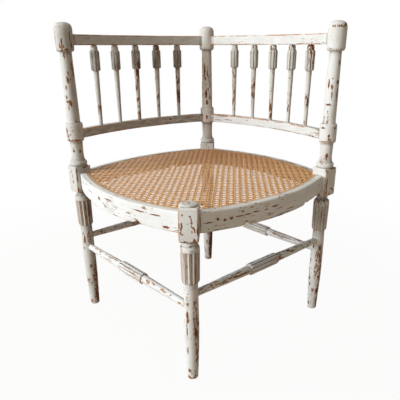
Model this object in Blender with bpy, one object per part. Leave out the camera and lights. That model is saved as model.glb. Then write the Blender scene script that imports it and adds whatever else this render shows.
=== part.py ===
# A corner chair with a caned seat: turned uprights, bowed rails, fluted spindles and stretchers.
# Units are metres. +Z is up, the floor is z = 0 and the front corner of the seat faces -Y.

import math

import bmesh
import bpy
from mathutils import Matrix, Vector

# Plan of the chair: the four uprights stand on the corners of a square turned by 45 degrees.
POST_REACH = 0.328  # chair centre to the axis of each upright
SEAT_BOW = 0.052  # how far a seat rail's outer face bows out from the line between two uprights
BACK_BOW = 0.043  # the same for the middle of a back rail

# Lengths of the turned uprights, from the floor up
ANKLE_HEIGHT = 0.036
SWELL_HEIGHT = 0.140
LEG_LENGTH = 0.255
FLUTED_LENGTH = 0.075
SHOULDER_LENGTH = 0.014
NECK_LENGTH = 0.009
BLOCK_LENGTH = 0.072
RING_LENGTH = 0.0135
WAIST_LENGTH = 0.051
COLLAR_LENGTH = 0.048
SHAFT_LENGTH = 0.169
CAP_LENGTH = 0.0665
FLUTE_END = 0.0075  # length over which the flutes run out at the foot of the drum
FLUTE_STOP = 0.004  # the same at their upper ends
COLLAR_ROUND = 0.006
CAP_ROUND = 0.007
CAP_DOME = 0.017
BEAD_FLAT = 0.002
CORNER = 0.0003  # height of the sharp corner under a collar, cap or bulb

# Radii of the turned uprights
FOOT_RADIUS = 0.0125
ANKLE_RADIUS = 0.0142
SWELL_RADIUS = 0.0170
LEG_TOP_RADIUS = 0.0156
DRUM_RADIUS = 0.0210
NECK_RADIUS = 0.0146
RING_RADIUS = 0.0223
WAIST_RADIUS = 0.0155
COLLAR_RADIUS = 0.0215
SHAFT_RADIUS = 0.0164
SHAFT_TOP_RADIUS = 0.0146
CAP_RADIUS = 0.0220
CAP_FLAT_RADIUS = 0.005
TAPER = 0.0010  # small steps and swellings of the turned work
POST_FLUTES = 12
POST_FLUTE_DEPTH = 0.0028

# Square blocks left on the uprights where the seat rails join
POST_BLOCK = 0.044
FRONT_BLOCK = 0.041
BLOCK_CHAMFER = 0.003
BUTTON_RADIUS = 0.0177
BUTTON_HEIGHT = 0.005

# Seat rails, with a shaped lower edge and a ledge for the cane
SEAT_DROP = 0.018  # top of a block to the top of the rails
SEAT_RAIL_DEPTH = 0.046
SEAT_RAIL_WIDTH = 0.030
BORDER_WIDTH = 0.017
REBATE_DEPTH = 0.003
EDGE_ROUND = 0.0035
CUSP_PLACE = 0.275  # part of the rail's length from either end to a cusp in its lower edge
CUSP_HEIGHT = 0.008
CUSP_HALF_WIDTH = 0.016
APRON_END_RISE = 0.004
SEAT_TENON = (0.015, 0.009, 0.022)  # length into the block, thickness, height
SEAT_TENON_INSET = 0.002

# Back rails and their spindles
LOWER_RAIL_RISE = 0.005  # foot of the collar to the rail on it
LOWER_RAIL_HEIGHT = 0.023
TOP_RAIL_RISE = 0.015  # foot of the cap to the rail on it
TOP_RAIL_HEIGHT = 0.025
BACK_RAIL_WIDTH = 0.020
BACK_RAIL_CHAMFER = 0.002
BACK_TENON = (0.013, 0.008, 0.014)
SPINDLES = 5
SPINDLE_SPACING = 0.069
SPINDLE_END_RADIUS = 0.0048
SPINDLE_END_LENGTH = 0.012
SPINDLE_SHAFT_RADIUS = 0.0072
BULB_RADIUS = 0.0125
BULB_LENGTH = 0.051
BULB_ROUND = 0.004
DOME_RADIUS = 0.0093
DOME_LENGTH = 0.0120
BULB_FLUTES = 8
BULB_FLUTE_DEPTH = 0.0026

# Stretchers between the legs: opposite pairs lie at two heights, so that their holes never meet
STRETCHER_DROP = 0.036  # foot of the fluted drum to the higher pair's axes
STRETCHER_STEP = 0.031
STRETCHER_END_RADIUS = 0.0080
STRETCHER_SHAFT_RADIUS = 0.0110
BARREL_RADIUS = 0.0148
BARREL_LENGTH = 0.100
BARREL_ROUND = 0.0025
STRETCHER_STUB = 0.003  # straight end left clear of a leg before the taper starts
STRETCHER_TIP = 0.004  # from the axis of a leg to the stretcher's end inside it
STRETCHER_FLUTES = 10
STRETCHER_FLUTE_DEPTH = 0.0026

# Caned seat panel: a net of strands inside a binding
CANE_THICKNESS = 0.0024
CANE_PITCH = 0.038
CANE_STRAND = 0.009
CANE_BINDING = 0.010

GAP = 0.0003  # clearance left between pieces that touch
ROOT = 0.012  # how far a tenon is bedded in its own rail
POST_SIDES = 24
SPINDLE_SIDES = 12
STRETCHER_SIDES = 15

PAINT = (0.82, 0.80, 0.74, 1.0)
PAINT_SHADE = (0.76, 0.74, 0.68, 1.0)
CANE = (0.62, 0.40, 0.20, 1.0)

# Heights and distances that follow from the sizes above
DRUM_BOTTOM = LEG_LENGTH
FLUTE_TOP = DRUM_BOTTOM + FLUTED_LENGTH
DRUM_TOP = FLUTE_TOP + SHOULDER_LENGTH
BLOCK_BOTTOM = DRUM_TOP + NECK_LENGTH
BLOCK_TOP = BLOCK_BOTTOM + BLOCK_LENGTH
RING_TOP = BLOCK_TOP + RING_LENGTH
COLLAR_BOTTOM = RING_TOP + WAIST_LENGTH
COLLAR_TOP = COLLAR_BOTTOM + COLLAR_LENGTH
CAP_BOTTOM = COLLAR_TOP + SHAFT_LENGTH
CAP_TOP = CAP_BOTTOM + CAP_LENGTH
SEAT_TOP = BLOCK_TOP - SEAT_DROP
LOWER_RAIL_BOTTOM = COLLAR_BOTTOM + LOWER_RAIL_RISE
TOP_RAIL_BOTTOM = CAP_BOTTOM + TOP_RAIL_RISE
HIGH_STRETCHER = DRUM_BOTTOM - STRETCHER_DROP
LOW_STRETCHER = HIGH_STRETCHER - STRETCHER_STEP
CHORD = POST_REACH * math.sqrt(2)
POSTS = {
    "left": Vector((-POST_REACH, 0, 0)),
    "right": Vector((POST_REACH, 0, 0)),
    "back": Vector((0, POST_REACH, 0)),
    "front": Vector((0, -POST_REACH, 0)),
}
# Each side of the seat runs from a side upright to the front or back one.
SEAT_SIDES = {
    "front_left": ("left", "front"),
    "front_right": ("right", "front"),
    "back_left": ("left", "back"),
    "back_right": ("right", "back"),
}
BACK_SIDES = ("back_left", "back_right")
HIGH_SIDES = ("front_right", "back_left")


def clear_scene():
    for obj in list(bpy.data.objects):
        bpy.data.objects.remove(obj, do_unlink=True)


def block_size(post):
    return FRONT_BLOCK if post == "front" else POST_BLOCK


# Meshes and objects


def finish_object(name, shape, colour=PAINT, smooth=True):
    mesh = bpy.data.meshes.new(name)
    bmesh.ops.recalc_face_normals(shape, faces=shape.faces)
    shape.to_mesh(mesh)
    shape.free()
    obj = bpy.data.objects.new(name, mesh)
    bpy.context.scene.collection.objects.link(obj)
    if smooth:
        mesh.shade_smooth()
        mesh.set_sharp_from_angle(angle=math.radians(38))
    material = bpy.data.materials.new(name)
    material.use_nodes = True
    surface = material.node_tree.nodes["Principled BSDF"]
    surface.inputs["Base Color"].default_value = colour
    surface.inputs["Roughness"].default_value = 0.6
    mesh.materials.append(material)
    return obj


def finish_helper(name, shape):
    helper = finish_object(name, shape, smooth=False)
    helper.hide_render = True
    helper.display_type = "WIRE"
    return helper


def combine(obj, helper, operation):
    change = obj.modifiers.new(helper.name, "BOOLEAN")
    change.operation = operation
    change.solver = "EXACT"
    change.object = helper


def add_box(shape, centre, size, direction=Vector((1, 0, 0))):
    turn = math.atan2(direction.y, direction.x)
    place = Matrix.Translation(centre) @ Matrix.Rotation(turn, 4, "Z")
    bmesh.ops.create_cube(shape, size=1, matrix=place @ Matrix.Diagonal((*size, 1)))


def add_cylinder(shape, centre, radius, length, direction=Vector((0, 0, 1)), sides=24):
    turn = Vector((0, 0, 1)).rotation_difference(direction).to_matrix().to_4x4()
    bmesh.ops.create_cone(
        shape,
        cap_ends=True,
        segments=sides,
        radius1=radius,
        radius2=radius,
        depth=length,
        matrix=Matrix.Translation(centre) @ turn,
    )


# Rings of turned work


def plain(height, radius, sides):
    return [
        Vector((radius * math.cos(angle), radius * math.sin(angle), height))
        for angle in (math.tau * i / sides for i in range(sides))
    ]


def square(height, half, sides):
    ring = []
    for point in plain(height, 1.0, sides):
        reach = half / max(abs(point.x), abs(point.y))
        ring.append(Vector((point.x * reach, point.y * reach, height)))
    return ring


def fluted(height, radius, groove, flutes, sides):
    # A fluted ring has twice the points of a plain one: two on each ridge, the others in the groove.
    per_flute = 2 * sides // flutes
    ring = plain(height, 1.0, 2 * sides)
    for i, point in enumerate(ring):
        depth = groove if i % per_flute > 1 else 0.0
        point.xy *= radius - depth
    return ring


def swell(low, high, steps=3):
    # Leaves the low (height, radius) flat and arrives upright at the high one, like a rounded shoulder.
    angles = [0.5 * math.pi * i / steps for i in range(steps + 1)]
    return [
        (
            low[0] + (high[0] - low[0]) * (1 - math.cos(angle)),
            low[1] + (high[1] - low[1]) * math.sin(angle),
        )
        for angle in angles
    ]


def close_in(low, high, steps=3):
    # The same shoulder turned over: leaves the low one upright and arrives flat at the high one.
    return list(reversed(swell(high, low, steps)))


def bridge(shape, low, high):
    if len(low) == len(high):
        for i in range(len(low)):
            j = (i + 1) % len(low)
            shape.faces.new((low[i], low[j], high[j], high[i]))
        return
    coarse, fine = sorted((low, high), key=len)
    for i, start in enumerate(coarse):
        end = coarse[(i + 1) % len(coarse)]
        first, middle = fine[2 * i], fine[2 * i + 1]
        last = fine[(2 * i + 2) % len(fine)]
        shape.faces.new((start, first, middle))
        shape.faces.new((start, middle, end))
        shape.faces.new((end, middle, last))


def skin(rings, place):
    shape = bmesh.new()
    loops = [[shape.verts.new(point) for point in ring] for ring in rings]
    for low, high in zip(loops, loops[1:]):
        bridge(shape, low, high)
    shape.faces.new(loops[0])
    shape.faces.new(loops[-1])
    shape.transform(place)
    return shape


# Arcs that the bowed rails follow


class Bow:
    # The arc between a side upright and the front or back one. Angles count from its middle, and grow
    # toward the front or back end.

    def __init__(self, side, bow):
        start, end = (POSTS[post] for post in SEAT_SIDES[side])
        self.along = (end - start).normalized()
        self.outward = (start + end).normalized()
        self.radius = (CHORD**2 / 4 + bow**2) / (2 * bow)
        self.shift = CHORD / 2 + bow - self.radius  # from the chair's centre to the arc's centre, outward

    def point(self, angle, inset=0.0, height=0.0):
        radius = self.radius - inset
        across = self.outward * (self.shift + radius * math.cos(angle))
        spot = across + self.along * (radius * math.sin(angle))
        spot.z = height
        return spot

    def angle_near_end(self, inset, distance):
        # The angle at which a line on the arc comes this near the plane between this side and the next.
        reach = (self.shift - distance * math.sqrt(2)) / (math.sqrt(2) * (self.radius - inset))
        return math.pi / 4 + math.asin(reach)

    def angle_at(self, part):
        # The angle at a part, 0 to 1, of the straight distance between the two uprights.
        return math.asin((part - 0.5) * CHORD / self.radius)

    def part_at(self, angle):
        return 0.5 + self.radius * math.sin(angle) / CHORD

    def from_start(self):
        angle = self.angle_near_end(0.0, 0.0)
        return self.along * math.cos(angle) + self.outward * math.sin(angle)

    def from_end(self):
        angle = self.angle_near_end(0.0, 0.0)
        return self.outward * math.sin(angle) - self.along * math.cos(angle)


def sweep(bow, section, parts):
    # A section is a list of (inset, height function) lines, joined along the arc from mitre to mitre.
    whole = bow.angle_near_end(0.0, GAP / 2)
    shape = bmesh.new()
    loops = []
    for part in parts:
        share = max(-1.0, min(1.0, bow.angle_at(part) / whole))
        loop = []
        for inset, height in section:
            angle = share * bow.angle_near_end(inset, GAP / 2)
            loop.append(shape.verts.new(bow.point(angle, inset, height(angle))))
        loops.append(loop)
    for low, high in zip(loops, loops[1:]):
        bridge(shape, low, high)
    shape.faces.new(loops[0])
    shape.faces.new(loops[-1])
    return shape


# Uprights


def leg_rings():
    # Foot, swelling shaft and fluted drum, up to the underside of the block
    def turn(profile):
        return [plain(height, radius, POST_SIDES) for height, radius in profile]

    def flute(height, radius, groove):
        return fluted(height, radius, groove, POST_FLUTES, POST_SIDES)

    foot = [
        (0.0, FOOT_RADIUS),
        (ANKLE_HEIGHT, ANKLE_RADIUS),
        (SWELL_HEIGHT, SWELL_RADIUS),
        (DRUM_BOTTOM, LEG_TOP_RADIUS),
    ]
    drum = [
        flute(DRUM_BOTTOM + CORNER, LEG_TOP_RADIUS + 2 * TAPER, TAPER),
        flute(DRUM_BOTTOM + FLUTE_END, DRUM_RADIUS - TAPER, POST_FLUTE_DEPTH),
        flute(FLUTE_TOP - FLUTE_STOP, DRUM_RADIUS, POST_FLUTE_DEPTH),
    ]
    shoulder = [(FLUTE_TOP, DRUM_RADIUS)]
    shoulder += close_in((FLUTE_TOP + FLUTE_STOP, DRUM_RADIUS), (DRUM_TOP, NECK_RADIUS))
    neck = [(BLOCK_BOTTOM, NECK_RADIUS)]
    return turn(foot) + drum + turn(shoulder + neck)


def block_rings(size):
    half = size / 2
    trimmed = half - BLOCK_CHAMFER
    return [
        square(BLOCK_BOTTOM, trimmed, POST_SIDES),
        square(BLOCK_BOTTOM + BLOCK_CHAMFER, half, POST_SIDES),
        square(BLOCK_TOP - BLOCK_CHAMFER / 2, half, POST_SIDES),
        square(BLOCK_TOP, half - BLOCK_CHAMFER / 2, POST_SIDES),
    ]


def post_top_rings():
    # Ring above the block, waist, collar, tapering shaft and domed cap
    ring_middle = (BLOCK_TOP + RING_TOP) / 2
    profile = [(BLOCK_TOP, POST_BLOCK / 2 - BLOCK_CHAMFER), (ring_middle, RING_RADIUS)]
    profile += close_in((ring_middle + BEAD_FLAT, RING_RADIUS), (RING_TOP, WAIST_RADIUS + TAPER), 2)
    profile += [
        ((RING_TOP + COLLAR_BOTTOM) / 2, WAIST_RADIUS),
        (COLLAR_BOTTOM, SHAFT_RADIUS),
    ]
    profile += swell(
        (COLLAR_BOTTOM + CORNER, SHAFT_RADIUS + TAPER),
        (COLLAR_BOTTOM + COLLAR_ROUND, COLLAR_RADIUS),
        2,
    )
    profile += close_in(
        (COLLAR_TOP - COLLAR_ROUND, COLLAR_RADIUS),
        (COLLAR_TOP - CORNER, SHAFT_RADIUS + TAPER),
        2,
    )
    profile += [(COLLAR_TOP, SHAFT_RADIUS), (CAP_BOTTOM, SHAFT_TOP_RADIUS)]
    profile += swell(
        (CAP_BOTTOM + CORNER, SHAFT_TOP_RADIUS + TAPER),
        (CAP_BOTTOM + CAP_ROUND, CAP_RADIUS),
        2,
    )
    profile += close_in((CAP_TOP - CAP_DOME, CAP_RADIUS), (CAP_TOP, CAP_FLAT_RADIUS), 4)
    return [plain(height, radius, POST_SIDES) for height, radius in profile]


def button_rings():
    profile = [
        (BLOCK_TOP, BUTTON_RADIUS - TAPER),
        (BLOCK_TOP + BUTTON_HEIGHT / 2, BUTTON_RADIUS),
        (BLOCK_TOP + BUTTON_HEIGHT, BUTTON_RADIUS - 2 * TAPER),
    ]
    return [plain(height, radius, POST_SIDES) for height, radius in profile]


def make_upright(post):
    # The blocks of the side posts face the rails, and those of the front and back ones face the front.
    turn = math.pi / 4 if post in ("left", "right") else 0.0
    place = Matrix.Translation(POSTS[post]) @ Matrix.Rotation(turn, 4, "Z")
    top = button_rings() if post == "front" else post_top_rings()
    name = "front_leg" if post == "front" else post + "_post"
    upright = finish_object(name, skin(leg_rings() + block_rings(block_size(post)) + top, place))
    holes = bmesh.new()
    for side, ends in SEAT_SIDES.items():
        if post not in ends:
            continue
        for owner, centre, size, direction in seat_tenons(side, GAP):
            if owner == post:
                add_box(holes, centre, size, direction)
        for owner, centre, direction in stretcher_ends(side):
            if owner == post:
                add_stretcher_hole(holes, centre, direction)
        if side in BACK_SIDES:
            for bottom, height in back_rail_levels().values():
                for owner, centre, size, direction in back_tenons(side, bottom, height, GAP):
                    if owner == post:
                        add_box(holes, centre, size, direction)
    combine(upright, finish_helper("holes_" + name, holes), "DIFFERENCE")
    return upright


# Seat rails


def seat_tenons(side, grow):
    # (upright, centre, size, direction) of the tenon at each end, or of its mortise, grown by the clearance
    bow = Bow(side, SEAT_BOW)
    length, thickness, height = SEAT_TENON
    middle = SEAT_TOP - SEAT_RAIL_DEPTH / 2
    from_face = SEAT_TENON_INSET + thickness / 2
    start, end = SEAT_SIDES[side]
    # The mortise runs on past the block's face, so that it opens there.
    size = (length + ROOT + grow, thickness + 2 * grow, height + 2 * grow)

    half = block_size(start) / 2
    angle = bow.angle_at(half / CHORD)
    out = (bow.point(angle) - POSTS[start]).dot(bow.outward) - from_face
    middle_along = half + (ROOT - length - grow) / 2
    first = POSTS[start] + bow.along * middle_along + bow.outward * out
    first.z = middle

    half = block_size(end) / 2
    toward = POSTS[start].normalized()
    inward = -POSTS[end].normalized()
    spot = bow.point(bow.angle_near_end(0.0, half)) + inward * from_face
    second = inward * spot.dot(inward) + toward * (half + (ROOT - length - grow) / 2)
    second.z = middle
    return [(start, first, size, bow.along), (end, second, size, toward)]


def apron_edge(bow):
    base = SEAT_TOP - SEAT_RAIL_DEPTH

    def height(angle):
        part = bow.part_at(angle)
        rise = APRON_END_RISE * max(0.0, min(1.0, (CUSP_PLACE - part) * CHORD / CUSP_HALF_WIDTH))
        for cusp in (CUSP_PLACE, 1 - CUSP_PLACE):
            near = 1 - abs(part - cusp) * CHORD / CUSP_HALF_WIDTH
            rise = max(rise, CUSP_HEIGHT * max(0.0, near) ** 1.6)
        return base + rise

    return height


def rail_parts():
    # Stations along a seat rail: even steps, with closer ones over each cusp
    even = [i / 14 for i in range(15)]
    close = [
        cusp + step * CUSP_HALF_WIDTH / CHORD
        for cusp in (CUSP_PLACE, 1 - CUSP_PLACE)
        for step in (-1, -0.55, -0.25, 0, 0.25, 0.55, 1)
    ]
    clear = CUSP_HALF_WIDTH / CHORD / 3
    free = [part for part in even if all(abs(part - other) > clear for other in close)]
    return sorted(free + close)


def make_seat_rail(side):
    bow = Bow(side, SEAT_BOW)
    edge = apron_edge(bow)

    def level(height):
        return lambda angle: height

    section = [
        (0.0, edge),
        (0.0, level(SEAT_TOP - EDGE_ROUND)),
        (EDGE_ROUND * 0.3, level(SEAT_TOP - EDGE_ROUND * 0.3)),
        (EDGE_ROUND, level(SEAT_TOP)),
        (BORDER_WIDTH, level(SEAT_TOP)),
        (BORDER_WIDTH, level(SEAT_TOP - REBATE_DEPTH)),
        (SEAT_RAIL_WIDTH, level(SEAT_TOP - REBATE_DEPTH)),
        (SEAT_RAIL_WIDTH, edge),
    ]
    name = side + "_seat_rail"
    rail = finish_object(name, sweep(bow, section, rail_parts()))
    blocks = bmesh.new()
    for post in SEAT_SIDES[side]:
        add_block_space(blocks, post)
    combine(rail, finish_helper("blocks_" + name, blocks), "DIFFERENCE")
    tenons = bmesh.new()
    for _, centre, size, direction in seat_tenons(side, 0.0):
        add_box(tenons, centre, size, direction)
    combine(rail, finish_helper("tenons_" + name, tenons), "UNION")
    return rail


def add_block_space(shape, post):
    size = block_size(post) + 2 * GAP
    facing = Vector((1, 1, 0)) if post in ("left", "right") else Vector((1, 0, 0))
    centre = POSTS[post] + Vector((0, 0, (BLOCK_BOTTOM + BLOCK_TOP) / 2))
    add_box(shape, centre, (size, size, 2 * (BLOCK_TOP - BLOCK_BOTTOM)), facing)


# Back rails and spindles


def back_rail_levels():
    return {
        "lower": (LOWER_RAIL_BOTTOM, LOWER_RAIL_HEIGHT),
        "top": (TOP_RAIL_BOTTOM, TOP_RAIL_HEIGHT),
    }


def drum_radius(bottom):
    return CAP_RADIUS if bottom == TOP_RAIL_BOTTOM else COLLAR_RADIUS


def back_tenons(side, bottom, rail_height, grow):
    bow = Bow(side, BACK_BOW)
    length, thickness, height = BACK_TENON
    size = (length + ROOT + grow, thickness + 2 * grow, height + 2 * grow)
    middle = drum_radius(bottom) + (ROOT - length - grow) / 2
    found = []
    for post, direction in zip(SEAT_SIDES[side], (bow.from_start(), bow.from_end())):
        centre = POSTS[post] + direction * middle
        centre.z = bottom + rail_height / 2
        found.append((post, centre, size, direction))
    return found


def spindle_spots(side):
    bow = Bow(side, BACK_BOW)
    first = 0.5 - (SPINDLES - 1) / 2 * SPINDLE_SPACING / CHORD
    return [bow.point(bow.angle_at(first + i * SPINDLE_SPACING / CHORD)) for i in range(SPINDLES)]


def make_back_rail(side, level):
    bow = Bow(side, BACK_BOW)
    bottom, height = back_rail_levels()[level]
    half = BACK_RAIL_WIDTH / 2
    cut = BACK_RAIL_CHAMFER
    outline = [
        (-half, bottom + cut),
        (-half, bottom + height - cut),
        (cut - half, bottom + height),
        (half - cut, bottom + height),
        (half, bottom + height - cut),
        (half, bottom + cut),
        (half - cut, bottom),
        (cut - half, bottom),
    ]
    section = [(inset, lambda angle, height=height: height) for inset, height in outline]
    name = side + "_" + level + "_rail"
    rail = finish_object(name, sweep(bow, section, [i / 14 for i in range(15)]), PAINT_SHADE)
    holes = bmesh.new()
    for post in SEAT_SIDES[side]:
        centre = POSTS[post] + Vector((0, 0, bottom + height / 2))
        add_cylinder(holes, centre, drum_radius(bottom) + GAP, 3 * height, sides=2 * POST_SIDES)
    depth = SPINDLE_END_LENGTH + GAP
    face = bottom + height if level == "lower" else bottom
    inward = -1 if level == "lower" else 1
    for spot in spindle_spots(side):
        # The hole starts clear of the rail's face and ends inside it.
        spot.z = face + inward * (depth / 2 - depth / 4)
        add_cylinder(holes, spot, SPINDLE_END_RADIUS + GAP, depth * 1.5, sides=SPINDLE_SIDES)
    combine(rail, finish_helper("holes_" + name, holes), "DIFFERENCE")
    tenons = bmesh.new()
    for _, centre, size, direction in back_tenons(side, bottom, height, 0.0):
        add_box(tenons, centre, size, direction)
    combine(rail, finish_helper("tenons_" + name, tenons), "UNION")
    return rail


def make_spindle(name, spot):
    lower = LOWER_RAIL_BOTTOM + LOWER_RAIL_HEIGHT
    dome_top = TOP_RAIL_BOTTOM - GAP
    bulb_top = dome_top - DOME_LENGTH
    bulb_bottom = bulb_top - BULB_LENGTH

    def turn(profile):
        return [plain(height, radius, SPINDLE_SIDES) for height, radius in profile]

    def flute(height, radius, groove):
        return fluted(height, radius, groove, BULB_FLUTES, SPINDLE_SIDES)

    rings = turn(
        [
            (lower - SPINDLE_END_LENGTH, SPINDLE_END_RADIUS),
            (lower + GAP, SPINDLE_END_RADIUS),
            (bulb_bottom, SPINDLE_SHAFT_RADIUS),
        ]
    )
    rings += [
        flute(bulb_bottom + CORNER, SPINDLE_SHAFT_RADIUS + TAPER, TAPER / 2),
        flute(bulb_bottom + BULB_ROUND, BULB_RADIUS, BULB_FLUTE_DEPTH),
        flute(bulb_top - BULB_ROUND, BULB_RADIUS, BULB_FLUTE_DEPTH),
    ]
    rings += turn(
        [
            (bulb_top, DOME_RADIUS),
            (bulb_top + DOME_LENGTH / 2, DOME_RADIUS),
            (dome_top, SPINDLE_END_RADIUS + TAPER),
            (dome_top, SPINDLE_END_RADIUS),
            (TOP_RAIL_BOTTOM + SPINDLE_END_LENGTH, SPINDLE_END_RADIUS),
        ]
    )
    return finish_object(name, skin(rings, Matrix.Translation(spot)))


# Stretchers


def stretcher_height(side):
    return HIGH_STRETCHER if side in HIGH_SIDES else LOW_STRETCHER


def stretcher_ends(side):
    start, end = SEAT_SIDES[side]
    along = (POSTS[end] - POSTS[start]).normalized()
    lift = Vector((0, 0, stretcher_height(side)))
    return [(start, POSTS[start] + lift, along), (end, POSTS[end] + lift, -along)]


def add_stretcher_hole(shape, centre, direction):
    near = STRETCHER_TIP - GAP
    length = 2 * SWELL_RADIUS
    middle = centre + direction * (near + length / 2)
    add_cylinder(shape, middle, STRETCHER_END_RADIUS + GAP, length, direction, sides=STRETCHER_SIDES)


def make_stretcher(side):
    half = CHORD / 2 - STRETCHER_TIP
    barrel = BARREL_LENGTH / 2
    inside_leg = CHORD / 2 - SWELL_RADIUS - STRETCHER_STUB

    def turn(profile):
        return [plain(place, radius, STRETCHER_SIDES) for place, radius in profile]

    def flute(place, radius, groove):
        return fluted(place, radius, groove, STRETCHER_FLUTES, STRETCHER_SIDES)

    shaft = [
        (half, STRETCHER_END_RADIUS),
        (inside_leg, STRETCHER_END_RADIUS),
        (barrel + 2 * BARREL_ROUND, STRETCHER_SHAFT_RADIUS),
        (barrel + CORNER, STRETCHER_SHAFT_RADIUS - 2 * TAPER),
    ]
    ends = [
        (barrel, BARREL_RADIUS - 2 * TAPER, TAPER / 2),
        (barrel - BARREL_ROUND, BARREL_RADIUS, STRETCHER_FLUTE_DEPTH),
    ]
    rings = turn([(-place, radius) for place, radius in shaft])
    rings += [flute(-place, radius, groove) for place, radius, groove in ends]
    rings += [flute(place, radius, groove) for place, radius, groove in reversed(ends)]
    rings += turn(reversed(shaft))
    start, end = (POSTS[post] for post in SEAT_SIDES[side])
    middle = (start + end) / 2
    middle.z = stretcher_height(side)
    turned = Vector((0, 0, 1)).rotation_difference(end - start).to_matrix().to_4x4()
    return finish_object(side + "_stretcher", skin(rings, Matrix.Translation(middle) @ turned))


# Caned seat


def seat_outline(inset):
    # The four bowed sides at this inset from the rails' outer faces, in order round the seat
    steps = 14
    outline = []
    for side, toward_end in (("front_left", 1), ("front_right", -1), ("back_right", 1), ("back_left", -1)):
        bow = Bow(side, SEAT_BOW)
        limit = bow.angle_near_end(inset, 0.0)
        outline += [bow.point(toward_end * limit * (2 * i / steps - 1), inset) for i in range(steps)]
    return outline


def prism(outline, bottom, top):
    shape = bmesh.new()
    loops = []
    for height in (bottom, top):
        loops.append([shape.verts.new((point.x, point.y, height)) for point in outline])
    bridge(shape, loops[0], loops[1])
    shape.faces.new(loops[0])
    shape.faces.new(loops[1])
    return shape


def inside_seat(spot, inset):
    for side in SEAT_SIDES:
        bow = Bow(side, SEAT_BOW)
        if (spot - bow.outward * bow.shift).length > bow.radius - inset:
            return False
    return True


def make_cane():
    bottom = SEAT_TOP - REBATE_DEPTH + GAP
    top = bottom + CANE_THICKNESS
    panel = finish_object("cane_seat", prism(seat_outline(BORDER_WIDTH + GAP), bottom, top), CANE, False)
    blocks = bmesh.new()
    for post in POSTS:
        add_block_space(blocks, post)
    combine(panel, finish_helper("blocks_cane_seat", blocks), "DIFFERENCE")

    # Openings between the strands, cut to the line of the binding
    field = BORDER_WIDTH + GAP + CANE_BINDING
    opening = CANE_PITCH - CANE_STRAND
    reach = math.ceil(POST_REACH / CANE_PITCH)
    middle = (bottom + top) / 2
    openings = bmesh.new()
    for column in range(-reach, reach):
        for row in range(-reach, reach):
            spot = Vector(((column + 0.5) * CANE_PITCH, (row + 0.5) * CANE_PITCH, 0))
            if inside_seat(spot, field + opening / 3):
                spot.z = middle
                add_box(openings, spot, (opening, opening, 3 * CANE_THICKNESS))
    cutter = finish_helper("openings_cane_seat", openings)
    limit = finish_helper("field_cane_seat", prism(seat_outline(field), bottom - top, 2 * top))
    combine(cutter, limit, "INTERSECT")
    combine(panel, cutter, "DIFFERENCE")
    return panel


def main():
    clear_scene()
    for post in POSTS:
        make_upright(post)
    for side in SEAT_SIDES:
        make_seat_rail(side)
        make_stretcher(side)
    for side in BACK_SIDES:
        for level in back_rail_levels():
            make_back_rail(side, level)
        for number, spot in enumerate(spindle_spots(side), start=1):
            make_spindle(side + "_spindle_" + str(number), spot)
    make_cane()


main()
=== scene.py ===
import math
import random
import bpy
import bmesh
from mathutils import Matrix, Vector, noise


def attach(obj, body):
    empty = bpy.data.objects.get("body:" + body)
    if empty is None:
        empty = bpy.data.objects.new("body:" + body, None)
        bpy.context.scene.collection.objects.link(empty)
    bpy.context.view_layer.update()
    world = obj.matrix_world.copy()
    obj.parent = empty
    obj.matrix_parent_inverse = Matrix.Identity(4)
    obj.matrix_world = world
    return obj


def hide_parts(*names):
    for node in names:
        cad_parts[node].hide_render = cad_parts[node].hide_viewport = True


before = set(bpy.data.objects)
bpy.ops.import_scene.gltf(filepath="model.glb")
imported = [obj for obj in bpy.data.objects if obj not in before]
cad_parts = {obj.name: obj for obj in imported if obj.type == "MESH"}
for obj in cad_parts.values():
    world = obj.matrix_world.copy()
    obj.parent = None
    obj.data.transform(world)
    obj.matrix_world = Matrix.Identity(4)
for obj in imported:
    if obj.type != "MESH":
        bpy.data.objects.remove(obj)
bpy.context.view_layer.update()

scene = bpy.context.scene
random.seed(7)

# plan of the chair: uprights on the corners of a square that stands on its tip
plan = {
    "reach": 0.328,  # centre of the chair to the axis of each upright
    "seatBow": 0.052,
    "backBow": 0.043,
}
corners = {
    "left": Vector((-plan["reach"], 0, 0)),
    "right": Vector((plan["reach"], 0, 0)),
    "back": Vector((0, plan["reach"], 0)),
    "front": Vector((0, -plan["reach"], 0)),
}
sides = {
    "front_left": ("left", "front"),
    "front_right": ("right", "front"),
    "back_left": ("left", "back"),
    "back_right": ("right", "back"),
}
panels = ("back_left", "back_right")
chord = plan["reach"] * math.sqrt(2)


def makeArc(side, bow):
    start, end = (corners[c] for c in sides[side])
    radius = (chord ** 2 / 4 + bow ** 2) / (2 * bow)
    return {
        "along": (end - start).normalized(),
        "outward": (start + end).normalized(),
        "radius": radius,
        "shift": chord / 2 + bow - radius,
    }


def arcPoint(arc, angle, inset=0.0, height=0.0):
    r = arc["radius"] - inset
    spot = arc["outward"] * (arc["shift"] + r * math.cos(angle)) + arc["along"] * (r * math.sin(angle))
    spot.z = height
    return spot


def arcLimit(arc, inset):
    # angle where a line on this arc meets the plane between two sides
    return math.pi / 4 + math.asin(arc["shift"] / (math.sqrt(2) * (arc["radius"] - inset)))


def arcAngle(arc, part):
    return math.asin((part - 0.5) * chord / arc["radius"])


# node helpers
def plug(tree, socket, value):
    if isinstance(value, bpy.types.NodeSocket):
        tree.links.new(value, socket)
    else:
        socket.default_value = value


def addNode(tree, kind, inputs=None, **values):
    # nodes stand in columns, in the order they are made
    node = tree.nodes.new(kind)
    column, place = divmod(len(tree.nodes), 8)
    node.location = (220 * column, -200 * place)
    for key, value in values.items():
        setattr(node, key, value)
    for key, value in (inputs or {}).items():
        plug(tree, node.inputs[key], value)
    return node


def mathNode(tree, operation, *terms, clamp=False):
    node = addNode(tree, "ShaderNodeMath", dict(enumerate(terms)), operation=operation, use_clamp=clamp)
    return node.outputs[0]


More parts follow.
